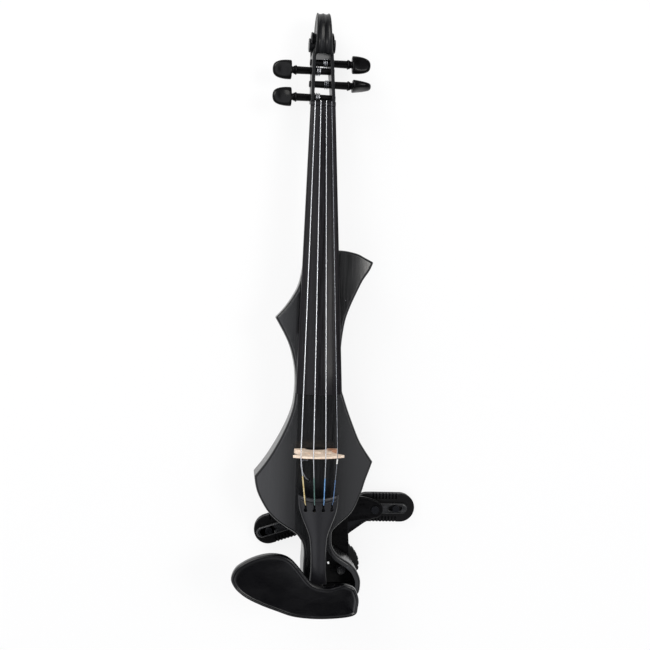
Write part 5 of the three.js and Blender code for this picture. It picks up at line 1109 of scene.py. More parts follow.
bridge_blank = loft([[at(x, -bridge_thickness(z) * side, FACE + z) for x, z in shape]
                     for side in (-0.5, 0.5)], "bridge_cut")
holes = []
for x, z, wide, tall in ((0, 19, 3.8, 3.8), (9.6, 19.5, 2.4, 4.0), (-9.6, 19.5, 2.4, 4.0)):
    holes.append(loft([[at(x + wide * math.cos(t), y, FACE + z + tall * math.sin(t))
                        for t in full_turn(36)] for y in (-6, 6)]))
combine(bridge_blank, holes)
stained_maple = bridge_maple.copy()
stained_maple.name = "bridge_maple_with_rosin_stain"
# Rosin and finger grease have browned the treble foot.
tree = stained_maple.node_tree
shader = tree.nodes["Principled BSDF"]
places = next(n for n in tree.nodes if n.type == "TEX_COORD")
stain_place = add_node(tree, "VectorMath", {0: places.outputs["Object"], 1: tuple(at(15.5, 2, FACE + 5))},
                       operation="DISTANCE")
ragged = add_node(tree, "TexNoise", {"Scale": 260.0, "Detail": 4.0, "Vector": places.outputs["Object"]})
ragged = add_node(tree, "Math", {0: ragged.outputs["Fac"], 1: 0.012}, operation="MULTIPLY")
reach = add_node(tree, "Math", {0: stain_place.outputs["Value"], 1: ragged}, operation="ADD")
mask = add_node(tree, "MapRange", {"From Min": 0.0145, "From Max": 0.0095, "To Max": 0.8, "Value": reach})
below = shader.inputs["Base Color"].links[0].from_socket
mixed = add_node(tree, "Mix", {0: mask, 6: below, 7: linear("#ad6c45")}, data_type="RGBA")
tree.links.new(mixed.outputs[2], shader.inputs["Base Color"])
install(bridge_blank, "bridge", rounding=0.35, material=stained_maple)
print("bridge:", len(bridge_blank.data.vertices), "points")

# %% [markdown]
# ## Strings
# Three strings are wound with steel ribbon, the thinnest is plain wire. Each leaves its turns on the
# peg, lies in the nut, crosses bridge and tailpiece fret and hooks its ball under the keyhole. Makers
# mark strings with silk thread wound round their ends. The string is one round sweep along its route,
# cut into lengths that carry steel or silk, with a small step in diameter where the silk begins.

# %% String route
# Each string's place across the instrument and its radius.
STRINGS = {"g": (-1.5, 0.45), "d": (-0.5, 0.425), "a": (0.5, 0.375), "e": (1.5, 0.25)}
# Distance from string to string at the nut, on the bridge and at the tailpiece.
NUT_STEP, BRIDGE_STEP, TAIL_STEP = 5.2, 11.2, 8.2
TAIL_TOP, TAIL_LENGTH, TAIL_HALF, TAIL_AXIS, TAIL_THICK = -37.6, 87.0, 18.8, 4.2, 4.6
TAIL_HEIGHT, TAIL_FALL, TAIL_CROWN = 23.5, 10, 3.4
# The ridge stands this far behind the tailpiece's broad end and bows back this much in its middle.
RIDGE_BACK, RIDGE_BOW, RIDGE_RADIUS = 4, 3, 0.8
KEYHOLE_RADIUS, KEYSLOT_HALF, KEYSLOT_LENGTH = 1.6, 0.8, 6.2
tail_widths = [(0, 1), (0.12, 0.97), (0.235, 0.835), (0.345, 0.633), (0.45, 0.463), (0.565, 0.394),
               (0.7, 0.372), (0.845, 0.383), (0.93, 0.42), (1, 0.44)]
smooth_widths = smooth_table(tail_widths)


def tail_centre(y):
    return 1.5 + (TAIL_AXIS - 1.5) * (TAIL_TOP - y) / TAIL_LENGTH


def tail_half(y):
    return TAIL_HALF * table_value(smooth_widths, (TAIL_TOP - y) / TAIL_LENGTH)


def tail_height(x, y):
    out = (x - tail_centre(y)) / tail_half(y)
    fall = TAIL_FALL * (TAIL_TOP - y) / TAIL_LENGTH
    return FACE + TAIL_HEIGHT - fall - TAIL_CROWN * (tail_half(y) / TAIL_HALF) * out ** 2


HOLE_Y = TAIL_TOP - 14


def arrival(name):
    """Where a string first touches its peg, and the nut's edge that it comes from."""
    rank, radius = STRINGS[name]
    _, py, pz = peg_place[name]
    coil = 3.6 + radius + GAP
    x = peg_side[name] * (pegbox_half(py) - PEGBOX_WALL - radius - 0.8)
    nut_x = NUT_STEP * rank
    start = Vector((nut_x, PEG_START - NUT_WIDTH / 4, NUT_TOP - arch_drop(nut_x, BOARD_ARCH) + GAP + radius))
    run = math.hypot(py - start.y, pz - start.z)
    angle = math.atan2(pz - start.z, py - start.y) + math.pi - math.acos(coil / run)
    return x, angle, coil, start, Vector((x, py + coil * math.cos(angle), pz + coil * math.sin(angle)))


def string_route(name):
    """Places that a string passes: peg, nut, bridge, ridge, keyhole's slot and the middle of its ball."""
    rank, radius = STRINGS[name]
    x, _, _, start, touch = arrival(name)
    bridge_x, hole_x = BRIDGE_STEP * rank, tail_centre(HOLE_Y) + TAIL_STEP * rank
    out = (hole_x - tail_centre(HOLE_Y)) / tail_half(HOLE_Y)
    fret_y = TAIL_TOP - RIDGE_BACK - RIDGE_BOW * (1 - out ** 2)
    fret_x = hole_x + (bridge_x - hole_x) * ((fret_y - HOLE_Y) / -HOLE_Y)
    over_fret = tail_height(hole_x, fret_y) + 2 * (RIDGE_RADIUS + GAP) + 0.4 + radius
    slot_y = HOLE_Y + KEYSLOT_LENGTH - radius - GAP
    inward = Vector((start.x - x, start.y - touch.y, start.z - touch.z)).normalized()
    return [touch + inward * 3.2, start, Vector((start.x, NUT_Y + GAP, start.z)),
            Vector((bridge_x, 0, BRIDGE_TOP - arch_drop(bridge_x, BRIDGE_ARCH) + GAP + radius)),
            Vector((fret_x, fret_y, over_fret)),
            Vector((hole_x, slot_y, tail_height(hole_x, slot_y) + radius + GAP)),
            Vector((hole_x, HOLE_Y, tail_height(hole_x, HOLE_Y) - TAIL_THICK - 2.8))]


# %% Strings with their silk
SILK_START = {"g": -17.5, "d": -19.0, "a": -19.5, "e": -21.5}
silks = {}
for name, dark, light in (("g", "#b3923a", "#f0e4b8"), ("d", "#24433f", "#557a72"),
                          ("a", "#2f6aa8", "#7fb4e4"), ("e", "#2a4c7c", "#5a82b0")):
    # Silk thread wound close: a fine pitch across the string and a soft sheen.
    silks[name] = finish("wound_silk_" + name, dark, light, (0.45, 0.6), (3, 0.7, 3), 0.02, ior=1.54)
    silks[name].node_tree.nodes["Principled BSDF"].inputs["Sheen Weight"].default_value = 0.3
vinyl = finish("clear_white_vinyl", "#d8d8d2", "#f2f2ee", (0.2, 0.3), (0.6, 0.6, 0.6), 0.0, coat=0.3)


def piece_of(line, start_y, end_y):
    """The stretch of a string's route between two places along Y, with both ends on the line."""
    made = []
    for a, b in zip(line, line[1:]):
        for target in sorted((start_y, end_y), reverse=True):
            if a.y >= target > b.y:
                made.append(a + (b - a) * (a.y - target) / (a.y - b.y))
        if start_y >= b.y >= end_y:
            made.append(b)
    return made


def rounded_route(route, bend=1.2):
    """A route with each bend taken in a short curve, as stiff wire takes it."""
    line = [route[0]]
    for before, here, after in zip(route, route[1:], route[2:]):
        reach = min(bend, (before - here).length / 3, (after - here).length / 3)
        start, end = here + (before - here).normalized() * reach, here + (after - here).normalized() * reach
        line += [start, (start + end) / 4 + here / 2, end]
    return line + [route[-1]]


for name, (rank, radius) in STRINGS.items():
    route = string_route(name)
    line = rounded_route(route)
    silk_low, silk_high = route[4].y + 4.0, SILK_START[name]
    # The stretch from the tailpiece's top down through the keyhole slot, and the ball, take the black steel:
    # painted shade inside the slot.
    parts = [(line[0].y, silk_high, radius, 0), (silk_high, silk_low, radius + 0.14, 1),
             (silk_low, route[5].y, radius, 1), (route[5].y, HOLE_Y, radius, 2)]
    stretches = []
    for high, low, r, tone in parts:
        stretch = [at(*p) for p in piece_of(line, high + 0.001, low)]
        if len(stretch) > 1:
            stretches.append((sweep_rings(stretch, r * MM, 14), tone))
    ball_profile = [(0.3, -1.2), (1.2, -1.15), (1.4, -0.9), (1.4, 0.9), (1.2, 1.15), (0.3, 1.2)]
    stretches.append((turned_rings(ball_profile, tuple(route[-1]), 24, "X"), 2))
    points, faces, tones = [], [], []
    for rings, tone in stretches:
        made = ring_faces(len(rings), len(rings[0]))
        faces += [tuple(i + len(points) for i in face) for face in made]
        points += [tuple(p) for ring in rings for p in ring]
        tones += [tone] * len(made)
    mesh = bpy.data.meshes.new("string_%s_strung" % name)
    mesh.from_pydata(points, [], faces)
    install(linked("string_%s_strung" % name, mesh), "string_" + name)
    mesh.materials.append(silks[name])
    # Third finish: black steel, the painted shade of the keyhole slot.
    mesh.materials.append(oxide_steel_and_painted_shade)
    mesh.polygons.foreach_set("material_index", tones)

# A short vinyl sleeve keeps the thin wire from cutting into the bridge.
e_line = rounded_route(string_route("e"))
sleeve_line = [at(*p) for p in piece_of(e_line, -1.6, -6.0)]
wear(loft(sweep_rings(sleeve_line, 0.62 * MM, 20), "string_e_sleeve"), "string_e", material=vinyl)
print("strings done")

# %% Turns on the pegs
for name, (_, radius) in STRINGS.items():
    x0, angle0, coil, _, _ = arrival(name)
    _, py, pz = peg_place[name]
    line = []
    for step in range(3 * 32 + 1):
        turn = step / 32
        angle = angle0 - turn * 2 * math.pi
        line.append(at(x0 - peg_side[name] * turn * 1.5, py + coil * math.cos(angle),
                       pz + coil * math.sin(angle)))
    rings = []
    for i, point in enumerate(line):
        along = (line[min(i + 1, len(line) - 1)] - line[max(i - 1, 0)]).normalized()
        outward = point - at(0, py, pz)
        outward.x = 0
        outward = (outward - along * along.dot(outward)).normalized()
        third = along.cross(outward)
        rings.append([point + (outward * math.cos(t) + third * math.sin(t)) * radius * MM
                      for t in full_turn(12)])
    install(loft(rings, "winding_%s_coiled" % name), "winding_" + name, 50)
print("turns on the pegs done")

# %% [markdown]
# ## Tailpiece, fret, cord and button
# The tailpiece is a moulded shell, broad where the strings hook in and slim towards the tail. Its top
# is arched, its edges are rounded, and a ridge carries the strings. Keyholes are cut through: a round
# hole lets the ball in and a slot holds it.

# %% Tailpiece
rings = []
for step in range(49):
    share = step / 48
    y = TAIL_TOP - TAIL_LENGTH * share
    half, curve = tail_half(y), 3 * max(1 - 6 * share, 0)
    edge_pull = 0.8 * max(1 - step / 1.5, 0) + 0.8 * max(1 - (48 - step) / 1.5, 0)
    top = []
    for k in range(33):
        out = 1 - 2 * k / 32
        x = tail_centre(y) + half * out
        lift = 1.0 * max(0, abs(out) - 1 + 1.4 / half) / (1.4 / half)
        top.append((x, y - curve * (1 - out ** 2), tail_height(x, y) - 0.9 * lift ** 2 - edge_pull))
    under = [(tail_centre(y) + (x - tail_centre(y)) * (1 - 0.8 / half), yy,
              tail_height(x, y) - TAIL_THICK + edge_pull * 0.6) for x, yy, _ in top[::-1]]
    mid_right = (tail_centre(y) + half, top[0][1], tail_height(tail_centre(y) + half, y) - 3.0)
    mid_left = (tail_centre(y) - half, top[-1][1], tail_height(tail_centre(y) - half, y) - 3.0)
    rings.append([at(*p) for p in top + [mid_left] + under + [mid_right]])
tail_piece = loft(rings, "tailpiece_moulded")
tools = []
for rank, _ in STRINGS.values():
    x = tail_centre(HOLE_Y) + TAIL_STEP * rank
    tools.append(rod((x, HOLE_Y, 0), KEYHOLE_RADIUS, FACE, FACE + 26, sides=28))
    tools.append(block(x - KEYSLOT_HALF, x + KEYSLOT_HALF, HOLE_Y, HOLE_Y + KEYSLOT_LENGTH, FACE, FACE + 26))
combine(tail_piece, tools)
install(tail_piece, "tailpiece", 38, 0.25)

fret_line = []
for k in range(33):
    out = 1 - 2 * k / 32
    y = TAIL_TOP - RIDGE_BACK
    x = tail_centre(y) + (tail_half(y) - 1.6) * out
    back = y - RIDGE_BOW * (1 - out ** 2)
    fret_line.append(at(x, back, tail_height(x, back) + RIDGE_RADIUS + GAP))
sizes = [RIDGE_RADIUS * MM * min(1, 0.45 + 0.275 * min(k, 32 - k)) for k in range(33)]
install(loft(sweep_rings(fret_line, sizes, 20), "tailpiece_ridge"), "tailpiece_fret", 60)

# %% Tail cord and button
CORD_RADIUS, BUTTON_SHAFT, BUTTON_HEIGHT = 1.3, 3.4, 11.8
cord_end, loop = TAIL_TOP - TAIL_LENGTH - GAP, BUTTON_SHAFT + CORD_RADIUS + GAP
high = FACE + TAIL_HEIGHT - TAIL_FALL - (TAIL_THICK + TAIL_CROWN * tail_widths[-1][1] ** 2) / 2
low = FACE + 3.8
button_y = spot_of("end_button")[1]


def cord_side(out):
    """Half of the cord, from the tailpiece round the button to the diagonal."""
    near, far, diagonal = TAIL_AXIS + out * 3.6, TAIL_AXIS + out * loop, loop * 0.7071
    return [(near, cord_end, high), (near, cord_end - CORD_RADIUS, high),
            (far, (cord_end + button_y) / 2, (high + low) / 2), (far, button_y, low),
            (TAIL_AXIS + out * diagonal, button_y - diagonal, low)]


cord_places = cord_side(-1) + [(TAIL_AXIS, button_y - loop, low)] + cord_side(1)[::-1]
cord_line = [at(*p) for p in spline(cord_places, 8)]
install(loft(sweep_rings(cord_line, CORD_RADIUS * MM, 24), "tail_cord_nylon"), "tail_cord", 60)
head_top, shaft_end = FACE + BUTTON_HEIGHT, FACE - BUTTON_DEPTH
button_profile = [(0.01, shaft_end), (3.0, shaft_end), (BUTTON_SHAFT, shaft_end + 0.4)] + [
    (radius, head_top - down) for radius, down in (
        (BUTTON_SHAFT, 3.7), (3.9, 3.4), (5.2, 3.35), (5.4, 3.0), (5.3, 2.0), (4.9, 0.9), (4.2, 0.25),
        (3.0, 0), (0.01, 0))]
install(loft(turned_rings(button_profile, spot_of("end_button"), 56), "end_button_turned"), "end_button")
print("tailpiece, fret, cord and button done")

# %% [markdown]
# ## Controls in the tail well
# A small black panel closes the bottom of the well. On it stand the volume knob, knurled round its
# skirt and dished on top, and a lamp with a rounded lens. Knurls are real ridges here, because at this
# size a bump alone would leave the knob's outline smooth.

# %% Panel, knob and lamp
panel_low, panel_high = mm_box("control_panel")
panel_piece = well_line(GAP, panel_low.z, panel_high.z)
panel_piece.name = "control_panel_moulded"
lamp_low, lamp_high = mm_box("indicator_lamp")
lamp_spot = spot_of("indicator_lamp")
combine(panel_piece, [rod((*knob_spot, 0), 2.0, 20, 40), rod(lamp_spot, 1.2, 20, 40, sides=24)])
install(panel_piece, "control_panel", rounding=0.3)

knob_base = panel_high.z + GAP
knob_profile = [(1.9, 0.15), (2.05, 0), (4.5, 0), (4.85, 0.35), (4.95, 0.9), (4.95, 1.5), (4.6, 1.8),
                (4.6, 2.2), (4.95, 2.5), (4.95, 10.0), (4.8, 10.6), (4.55, 11.1), (4.3, 11.6), (4.0, 11.9),
                (3.6, 12.0), (3.3, 11.9), (3.05, 11.6), (2.4, 11.25), (1.2, 11.15), (0.02, 11.12)]
rings = []
for radius, along in knob_profile:
    ring = []
    for k, angle in enumerate(full_turn(144)):
        ridge = 0.3 * (k % 4 in (1, 2)) if 2.4 < along < 10.7 else 0
        pointer = 0.25 if along > 10.5 and radius < 4.2 and abs(angle - 1.57) < 0.09 else 0
        r = radius - ridge
        ring.append(at(knob_spot[0] + r * math.cos(angle), knob_spot[1] + r * math.sin(angle),
                       knob_base + along - pointer))
    rings.append(ring)
install(loft(rings, "volume_knob_knurled"), "volume_knob", 30)
lamp_profile = [(0.01, lamp_low.z), (0.9, lamp_low.z), (0.9, lamp_high.z - 0.75), (0.84, lamp_high.z - 0.42),
                (0.62, lamp_high.z - 0.14), (0.3, lamp_high.z - 0.02), (0.01, lamp_high.z)]
install(loft(turned_rings(lamp_profile, lamp_spot, 32), "indicator_lamp_lens"), "indicator_lamp", 60)
print("panel, knob and lamp done")

# %% Sockets in the tail end
# Outer radius, bore and length inside the body.
for node, sleeve, bore, length in (("output_socket", 5.2, 3.25, SOCKET_DEPTH - GAP),
                                   ("headphone_socket", 3.2, 1.8, 4.6)):
    place, outer = (SOCKET_X[node], 0, SOCKET_Z), BODY_END - 2.2
    sleeve_body = rod(place, sleeve, BODY_END - GAP - 2.2, BODY_END + length, "Y", 48)
    flange = turned_rings([(sleeve + 1.3, outer), (sleeve + 1.9, outer + 0.5),
                           (sleeve + 1.9, BODY_END - GAP)], place, 6, "Y")
    combine(sleeve_body, [loft(flange)], "UNION")
    combine(sleeve_body, [rod(place, bore, outer - 2, BODY_END + length - 2.2, "Y", 40),
                          rod(place, bore + 1.0, outer - 0.6, outer + 1.0, "Y", 40, bore)])
    sleeve_body.name = node + "_turned"
    install(sleeve_body, node, rounding=0.2, edges=40)
print("sockets done")

# %% [markdown]
# ## Chin rest
# The chin rest is a kidney of polished resin, dished for the jaw, with a soft rim all round. It is
# drawn as rings from its underside over the rim into the dish. The rings of the rim run parallel to
# the edge, and the dish deepens with the distance from the rim, so that every reflection stays
# unbroken. A polished piece needs that more than any other.

# %% Plate of the chin rest
chin_shares = [(0, 0.645), (0.03, 0.785), (0.094, 0.88), (0.171, 0.95), (0.248, 0.99), (0.325, 1),
               (0.404, 0.974), (0.461, 0.916), (0.512, 0.815), (0.6, 0.6), (0.645, 0.527), (0.704, 0.483),
               (0.761, 0.473), (0.819, 0.5), (0.877, 0.525), (0.928, 0.5), (0.972, 0.445), (1, 0.3),
               (0.996, 0.17), (0.98, 0.066), (0.905, 0.018), (0.746, 0), (0.601, 0.013), (0.472, 0.055),
               (0.357, 0.137), (0.242, 0.226), (0.135, 0.329), (0.064, 0.43), (0.02, 0.53)]
wall_rows = [(8, 0), (4, 0), (1.3, 0.03), (0.5, 0.13), (0.1, 0.3), (0, 0.5), (0, 0.72), (0.12, 0.86),
             (0.45, 0.955), (0.95, 0.995), (1.5, 1), (2.0, 0.985), (2.4, 0.94), (2.8, 0.9), (3.5, 0.88)]
DISH_DEPTH, DISH_REACH = 0.1, 24.0
CHIN_WIDTH, CHIN_LENGTH, CHIN_LEFT, CHIN_LOW, CHIN_THICK = 118.0, 61.0, 77.6, FACE + 21, 9.0


def set_in(points, distance):
    """A closed line moved inwards by a distance that is small beside its curves."""
    count, made = len(points), []
    for i in range(count):
        a, b = (points[i] - points[i - 1]).normalized(), (points[(i + 1) % count] - points[i]).normalized()
        bisector = Vector((-(a + b).y, (a + b).x)).normalized()
        made.append(points[i] + bisector * distance / max(bisector.dot(Vector((-a.y, a.x))), 0.4))
    return made


def chin_point(across, up):
    return Vector((CHIN_WIDTH * across - CHIN_LEFT, CHIN_LENGTH * (up - 1) + BODY_END + 52))


chin_edge = spline([chin_point(*p) for p in chin_shares[::-1]], 8, closed=True)
chin_centre = chin_point(0.59, 0.28)
rings = [[at(p.x, p.y, CHIN_LOW + CHIN_THICK * row.y) for p in set_in(chin_edge, row.x)]
         for row in spline(wall_rows, 2)]
inner = set_in(chin_edge, wall_rows[-1][0])
for size in (0.96, 0.91, 0.85, 0.78, 0.7, 0.61, 0.51, 0.4, 0.28, 0.15, 0.04):
    ring = []
    for p in inner:
        spot = chin_centre + (p - chin_centre) * size
        near = min(min((spot - q).length for q in inner) / DISH_REACH, 1)
        ring.append(at(spot.x, spot.y, CHIN_LOW + CHIN_THICK
                       * (wall_rows[-1][1] - DISH_DEPTH * near * (2 - near))))
    rings.append(ring)
chin_piece = install(loft(rings, "chin_rest_polished"), "chin_rest", 60)
print("chin rest:", len(chin_piece.data.vertices), "points")

# %% Riser, clamp and barrels
# The barrels are turnbuckles: round, with a waist at each end and two cross holes for a steel key.
for side in ("left", "right"):
    node = "clamp_barrel_" + side
    low, high = mm_box(node)
    spot, length = (*spot_of(node)[:2], low.z), high.z - low.z
    profile = [(0.01, 0), (1.3, 0), (1.6, 0.3), (1.6, length * 0.17), (1.75, length * 0.18),
               (2.1, length * 0.185), (2.3, length * 0.2), (2.3, length * 0.8), (2.1, length * 0.815),
               (1.75, length * 0.82), (1.6, length * 0.83), (1.6, length - 0.3), (1.3, length),
               (0.01, length)]
    barrel = loft(turned_rings(profile, spot, 40), node + "_turned")
    combine(barrel, [rod((spot[0], spot[1], spot[2] + length * share), 0.9, -5, 5, "X", 24)
                     for share in (0.32, 0.68)])
    install(barrel, node, 35, 0.15)
dress("chin_riser", 0.9, 4)
dress("chin_clamp", 0.8, 4)
print("clamp done")

# %% [markdown]
# ## Shoulder rest
# Under the body a plate is screwed on, and a bar swings on it, held by a thumb wheel with teeth round
# its rim. Each end of the bar carries an arm with a slot, and in the slot sits a rubber pad base with
# ribs, glued to a foam pad. Bar, arms and plate are moulded nylon: their edges are round enough to lift
# a line of light, so each is extruded with a quarter round on every edge, drawn as rings.

# %% Moulded flat pieces
WHEEL_SPOT = Vector((28.0, BODY_END + 16))
heights = {node: mm_box(node)
           for node in ("rest_plate", "rest_bar", "rest_arm_right", "pad_base_right", "rest_wheel")}


def moulded(name, shape, low, high, edge, steps=4):
    """A flat piece with rounded upper and lower edges. The shape runs anticlockwise."""
    quarter = [k / steps * math.pi / 2 for k in range(steps + 1)]
    rows = [(a, low, 1) for a in quarter[::-1]] + [(a, high, -1) for a in quarter]
    return loft([[at(p.x, p.y, z + way * edge * (1 - math.sin(a)))
                  for p in set_in(shape, edge * (1 - math.cos(a)))] for a, z, way in rows], name)


def strap(x, y, turn, length, width, steps=20):
    """A bar with round ends that starts at a point and runs in a direction, drawn anticlockwise."""
    r, line = width / 2, []
    for end, first in ((length, turn - math.pi / 2), (0, turn + math.pi / 2)):
        cx, cy = x + math.cos(turn) * end, y + math.sin(turn) * end
        line += [Vector((cx + r * math.cos(first + math.pi * k / steps),
                         cy + r * math.sin(first + math.pi * k / steps))) for k in range(steps + 1)]
    return line


# %% Bar with its wing
BAR_WIDTH, NECK_WIDTH, HUB_WIDTH, BAR_ROUND = 17, 26, 28, 1.4
STUD_BORE, PIN_BORE, ARM_BORE = 3.4, 2.7, 2.8
RIGHT_PIVOT, LEFT_PIVOT = Vector((66.0, BODY_END + 73.6)), Vector((-14.2, BODY_END + 59.6))
bar_low, bar_high = (p.z for p in heights["rest_bar"])
run = RIGHT_PIVOT - LEFT_PIVOT
middle = LEFT_PIVOT + run / 2
down = WHEEL_SPOT - middle
wing_shares = [(0.14, 0.17), (-0.17, 0.33), (-0.72, 0.39), (-1, 0.22), (-1, -0.83), (-0.67, -0.63),
               (-0.28, -0.36), (0.06, -0.17)]
wing = spline([RIGHT_PIVOT + Vector(p) * 36 for p in wing_shares], 5, closed=True)
bar_piece = moulded("rest_bar_moulded", strap(*LEFT_PIVOT, math.atan2(run.y, run.x), run.length, BAR_WIDTH),
                    bar_low, bar_high, BAR_ROUND)
# Each form that joins the bar is a few thousandths of a millimetre thinner: no two faces coincide.
joined = [(strap(*middle, math.atan2(down.y, down.x), down.length, NECK_WIDTH), 0.004), (wing, 0.008),
          (strap(*WHEEL_SPOT, 0, 0.01, HUB_WIDTH, 24), 0.002)]
combine(bar_piece, [moulded("tool", shape, bar_low + less, bar_high - less, BAR_ROUND)
                    for shape, less in joined], "UNION")
bores = ((WHEEL_SPOT, STUD_BORE), (RIGHT_PIVOT, PIN_BORE), (LEFT_PIVOT, PIN_BORE))
combine(bar_piece, [rod((*spot, 0), radius, 10, 25) for spot, radius in bores])
install(bar_piece, "rest_bar", rounding=0.25, edges=60)
print("bar:", len(bar_piece.data.vertices), "points")

# %% Arms
arm_low, arm_high = (p.z for p in heights["rest_arm_right"])
ARM_WIDTH, ARM_ROUND = 11, 1.7
# The pad's screw stands in the middle of its slot, this far inside the centre of the arm's round end.
SCREW_BACK, SLOT_LENGTH, SLOT_WIDTH, GROOVE_WIDTH = 5 + 1.9, 10, 4.6, 7.4
# Pivot, length, direction, and how far the pad's middle lies behind its screw.
arms = {"right": (RIGHT_PIVOT, 29.0, -0.02, 11.0), "left": (LEFT_PIVOT, 34.0, math.pi + 0.29, 17.0)}


def along_arm(pivot, turn, distance):
    return pivot + Vector((math.cos(turn), math.sin(turn))) * distance


for side, (pivot, length, turn, _) in arms.items():
    arm_piece = moulded("rest_arm_%s_moulded" % side, strap(*pivot, turn, length, ARM_WIDTH), arm_low,
                        arm_high, ARM_ROUND, 6)
    first = along_arm(pivot, turn, length - SCREW_BACK - SLOT_LENGTH / 2)
    slot, groove = (strap(*first, turn, SLOT_LENGTH, width) for width in (SLOT_WIDTH, GROOVE_WIDTH))
    combine(arm_piece, [prism(slot, arm_low - 2, arm_high + 2), prism(groove, arm_high - 0.7, arm_high + 2),
                        rod((*pivot, 0), ARM_BORE, arm_low - 2, arm_high + 2)])
    # The arms take the nylon whose lighter tone is painted light.
    install(arm_piece, "rest_arm_" + side, rounding=0.25, material=lit_arm_nylon)
print("arms done")

# %% Ribbed pad bases
base_low, base_high = (p.z for p in heights["pad_base_right"])
PAD_LENGTH, PAD_WIDTH = 63.0, 29.0
# Grooves between the ribs: their count along each long edge, and their pitch, width, reach and depth.
GROOVES, PITCH, GROOVE_HALF, GROOVE_REACH, GROOVE_DEPTH = 8, 3.4, 0.65, 3.8, 2.2
GROOVE_OUT = PAD_WIDTH / 2 - 1.8
pads = {}
for side, (pivot, length, turn, set_back) in arms.items():
    screw = along_arm(pivot, turn, length - SCREW_BACK)
    centre = along_arm(screw, turn, -set_back)
    half = (PAD_LENGTH - PAD_WIDTH) / 2
    pads[side] = (along_arm(centre, turn, -half), turn, half)
    base = moulded("pad_base_%s_ribbed" % side, strap(*pads[side][0], turn, 2 * half, PAD_WIDTH), base_low,
                   base_high, 0.9)
    tools = [rod((*screw, 0), 2.2, base_low - 2, base_high + 2)]
    out = Vector((-math.sin(turn), math.cos(turn)))
    for hand in (-1, 1):
        for k in range(GROOVES):
            spot = along_arm(centre, turn, (k - (GROOVES - 1) / 2) * PITCH) + out * hand * GROOVE_OUT
            corners = [along_arm(spot, turn, a * GROOVE_HALF) + out * b * GROOVE_REACH
                       for a, b in ((-1, -1), (1, -1), (1, 1), (-1, 1))]
            tools.append(prism(corners, base_high - GROOVE_DEPTH, base_high + 1.5))
    combine(base, tools)
    # The pad rubber's light edge tone paints a highlight along the ribs.
    install(base, "pad_base_" + side, rounding=0.45, segments=3)
print("pad bases done")

# %% [markdown]
# ## Foam pads
# The pads are closed-cell foam, cut by knife and thinned at the edges by the load. They are crowned
# underneath and drawn in at the sides, and their skin shows small dents where they have been pressed.
# A subdivision surface over a few rings gives the soft form, and a fine cloud displaces it a little.

# %% Foam
pad_rows = [(0.5, 0), (0.72, 0.004), (0.84, 0.03), (0.92, 0.1), (0.965, 0.22), (0.985, 0.38), (0.985, 0.55),
            (0.98, 0.7), (0.965, 0.85), (0.955, 0.93), (0.93, 0.985), (0.86, 0.995), (0.5, 0.995)]
foam_dents = bpy.data.textures.new("foam_dents", "CLOUDS")
foam_dents.noise_scale = 0.004
for side, (start, turn, half) in pads.items():
    edge = strap(0, 0, 0, 2 * half, PAD_WIDTH, 18)
    rings = []
    for size, up in pad_rows:
        ring = []
        for p in edge:
            end = 0 if p.x < half else 2 * half
            local = Vector((end + (p.x - end) * size, p.y * size))
            ring.append(at(start.x + local.x * math.cos(turn) - local.y * math.sin(turn),
                           start.y + local.x * math.sin(turn) + local.y * math.cos(turn), 7.0 * up))
        rings.append(ring)
    foam = install(loft(rings, "pad_foam_%s_cut" % side), "pad_foam_" + side, 80)
    foam.modifiers.new("soft_form", "SUBSURF").render_levels = 2
    dents = foam.modifiers.new("dents", "DISPLACE")
    dents.texture, dents.strength, dents.mid_level = foam_dents, 0.00025, 0.75
print("foam pads done")

# %% [markdown]
# ## Thumb wheel and plate
# The wheel is moulded rubber over a hub: teeth round the rim for the fingers and a recess underneath.
# It is one outline with rounded teeth, drawn in rings like the flat pieces above.

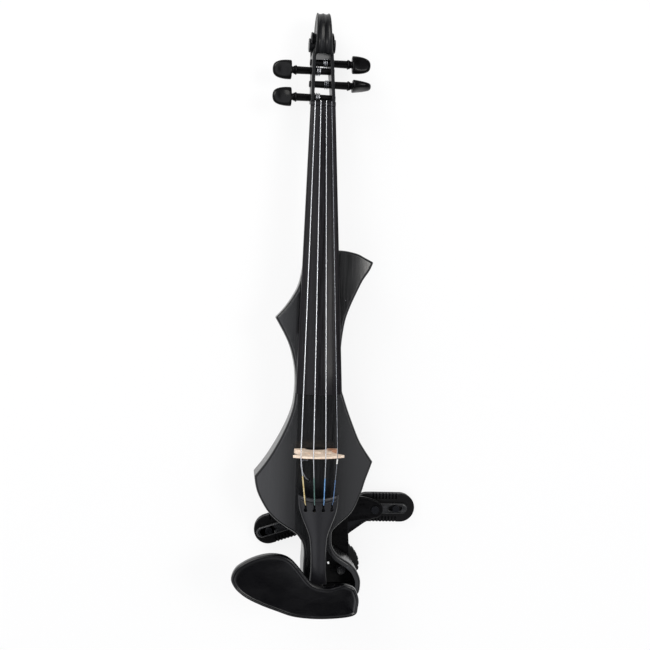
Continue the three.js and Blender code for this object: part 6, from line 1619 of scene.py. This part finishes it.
# %% Wheel
wheel_low = heights["rest_wheel"][0].z
plate_low, plate_high = (p.z for p in heights["rest_plate"])
WHEEL_RADIUS, TOOTH_DEPTH, TEETH, STEPS, STUD_RADIUS = 24.2, 1.1, 28, 12, 3.0
teeth = []
for k in range(TEETH * STEPS):
    phase = (k % STEPS) / STEPS
    dip = 0.0 if phase < 0.5 else math.sin((phase - 0.5) * 2 * math.pi) ** 0.7
    r, a = WHEEL_RADIUS - TOOTH_DEPTH * dip, 2 * math.pi * k / (TEETH * STEPS)
    teeth.append(Vector((WHEEL_SPOT.x + r * math.cos(a), WHEEL_SPOT.y + r * math.sin(a))))
rings = []
for inset, up in ((18.5, 1.6), (17.6, 1.5), (17.0, 0.6), (16.2, 0.1), (4.0, 0), (1.6, 0), (0.9, 0.12),
                  (0.35, 0.45), (0.0, 1.1), (0.0, 6.9), (0.35, 7.55), (0.9, 7.88), (1.6, 8.0), (15.0, 8.0)):
    ring = []
    for p in teeth:
        out = p - WHEEL_SPOT
        r = (out.length if inset < 4 else WHEEL_RADIUS - TOOTH_DEPTH / 2) - inset
        q = WHEEL_SPOT + out.normalized() * r
        ring.append(at(q.x, q.y, wheel_low + up))
    rings.append(ring)
wheel = loft(rings, "rest_wheel_moulded")
combine(wheel, [rod((*WHEEL_SPOT, 0), STUD_RADIUS, wheel_low + 4, plate_high - GAP, sides=40)], "UNION")
install(wheel, "rest_wheel", 35, 0.15, 60)

# %% Plate
PLATE_LEFT, PLATE_RIGHT, CORNER, BEVEL, SEAT_RADIUS, SEAT_DEPTH = -1.5, 40.5, 6, 1.2, 5.9, 3.2
top_y = heights["rest_plate"][1].y
plate_shape = [(PLATE_LEFT, BODY_END + 10), (PLATE_RIGHT, BODY_END + 10), (PLATE_RIGHT, BODY_END + 30)]
plate_shape += [(38 - CORNER + CORNER * math.cos(a), top_y - CORNER + CORNER * math.sin(a))
                for a in (0, 0.4, 0.8, 1.2, 1.57)]
plate_shape = [Vector(p) for p in plate_shape + [(PLATE_LEFT + BEVEL, top_y), (PLATE_LEFT, top_y - BEVEL)]]
plate_piece = moulded("rest_plate_moulded", plate_shape, plate_low, plate_high, 0.8)
# The stud's bore opens into a six-sided seat for its nut.
tools = [rod((*WHEEL_SPOT, 0), STUD_BORE, plate_low - 2, plate_high + 2),
         rod((*WHEEL_SPOT, 0), SEAT_RADIUS, plate_high - SEAT_DEPTH, plate_high + 2, sides=6)]
for k in (1, 2):
    spot = spot_of("plate_screw_%d" % k)
    tools += [rod(spot, PLATE_BORE, plate_low - 2, plate_high + 2, sides=24),
              rod(spot, 3.1, plate_low - 2, plate_low + 1.7, sides=32)]
combine(plate_piece, tools)
install(plate_piece, "rest_plate", rounding=0.25)
print("wheel and plate done")
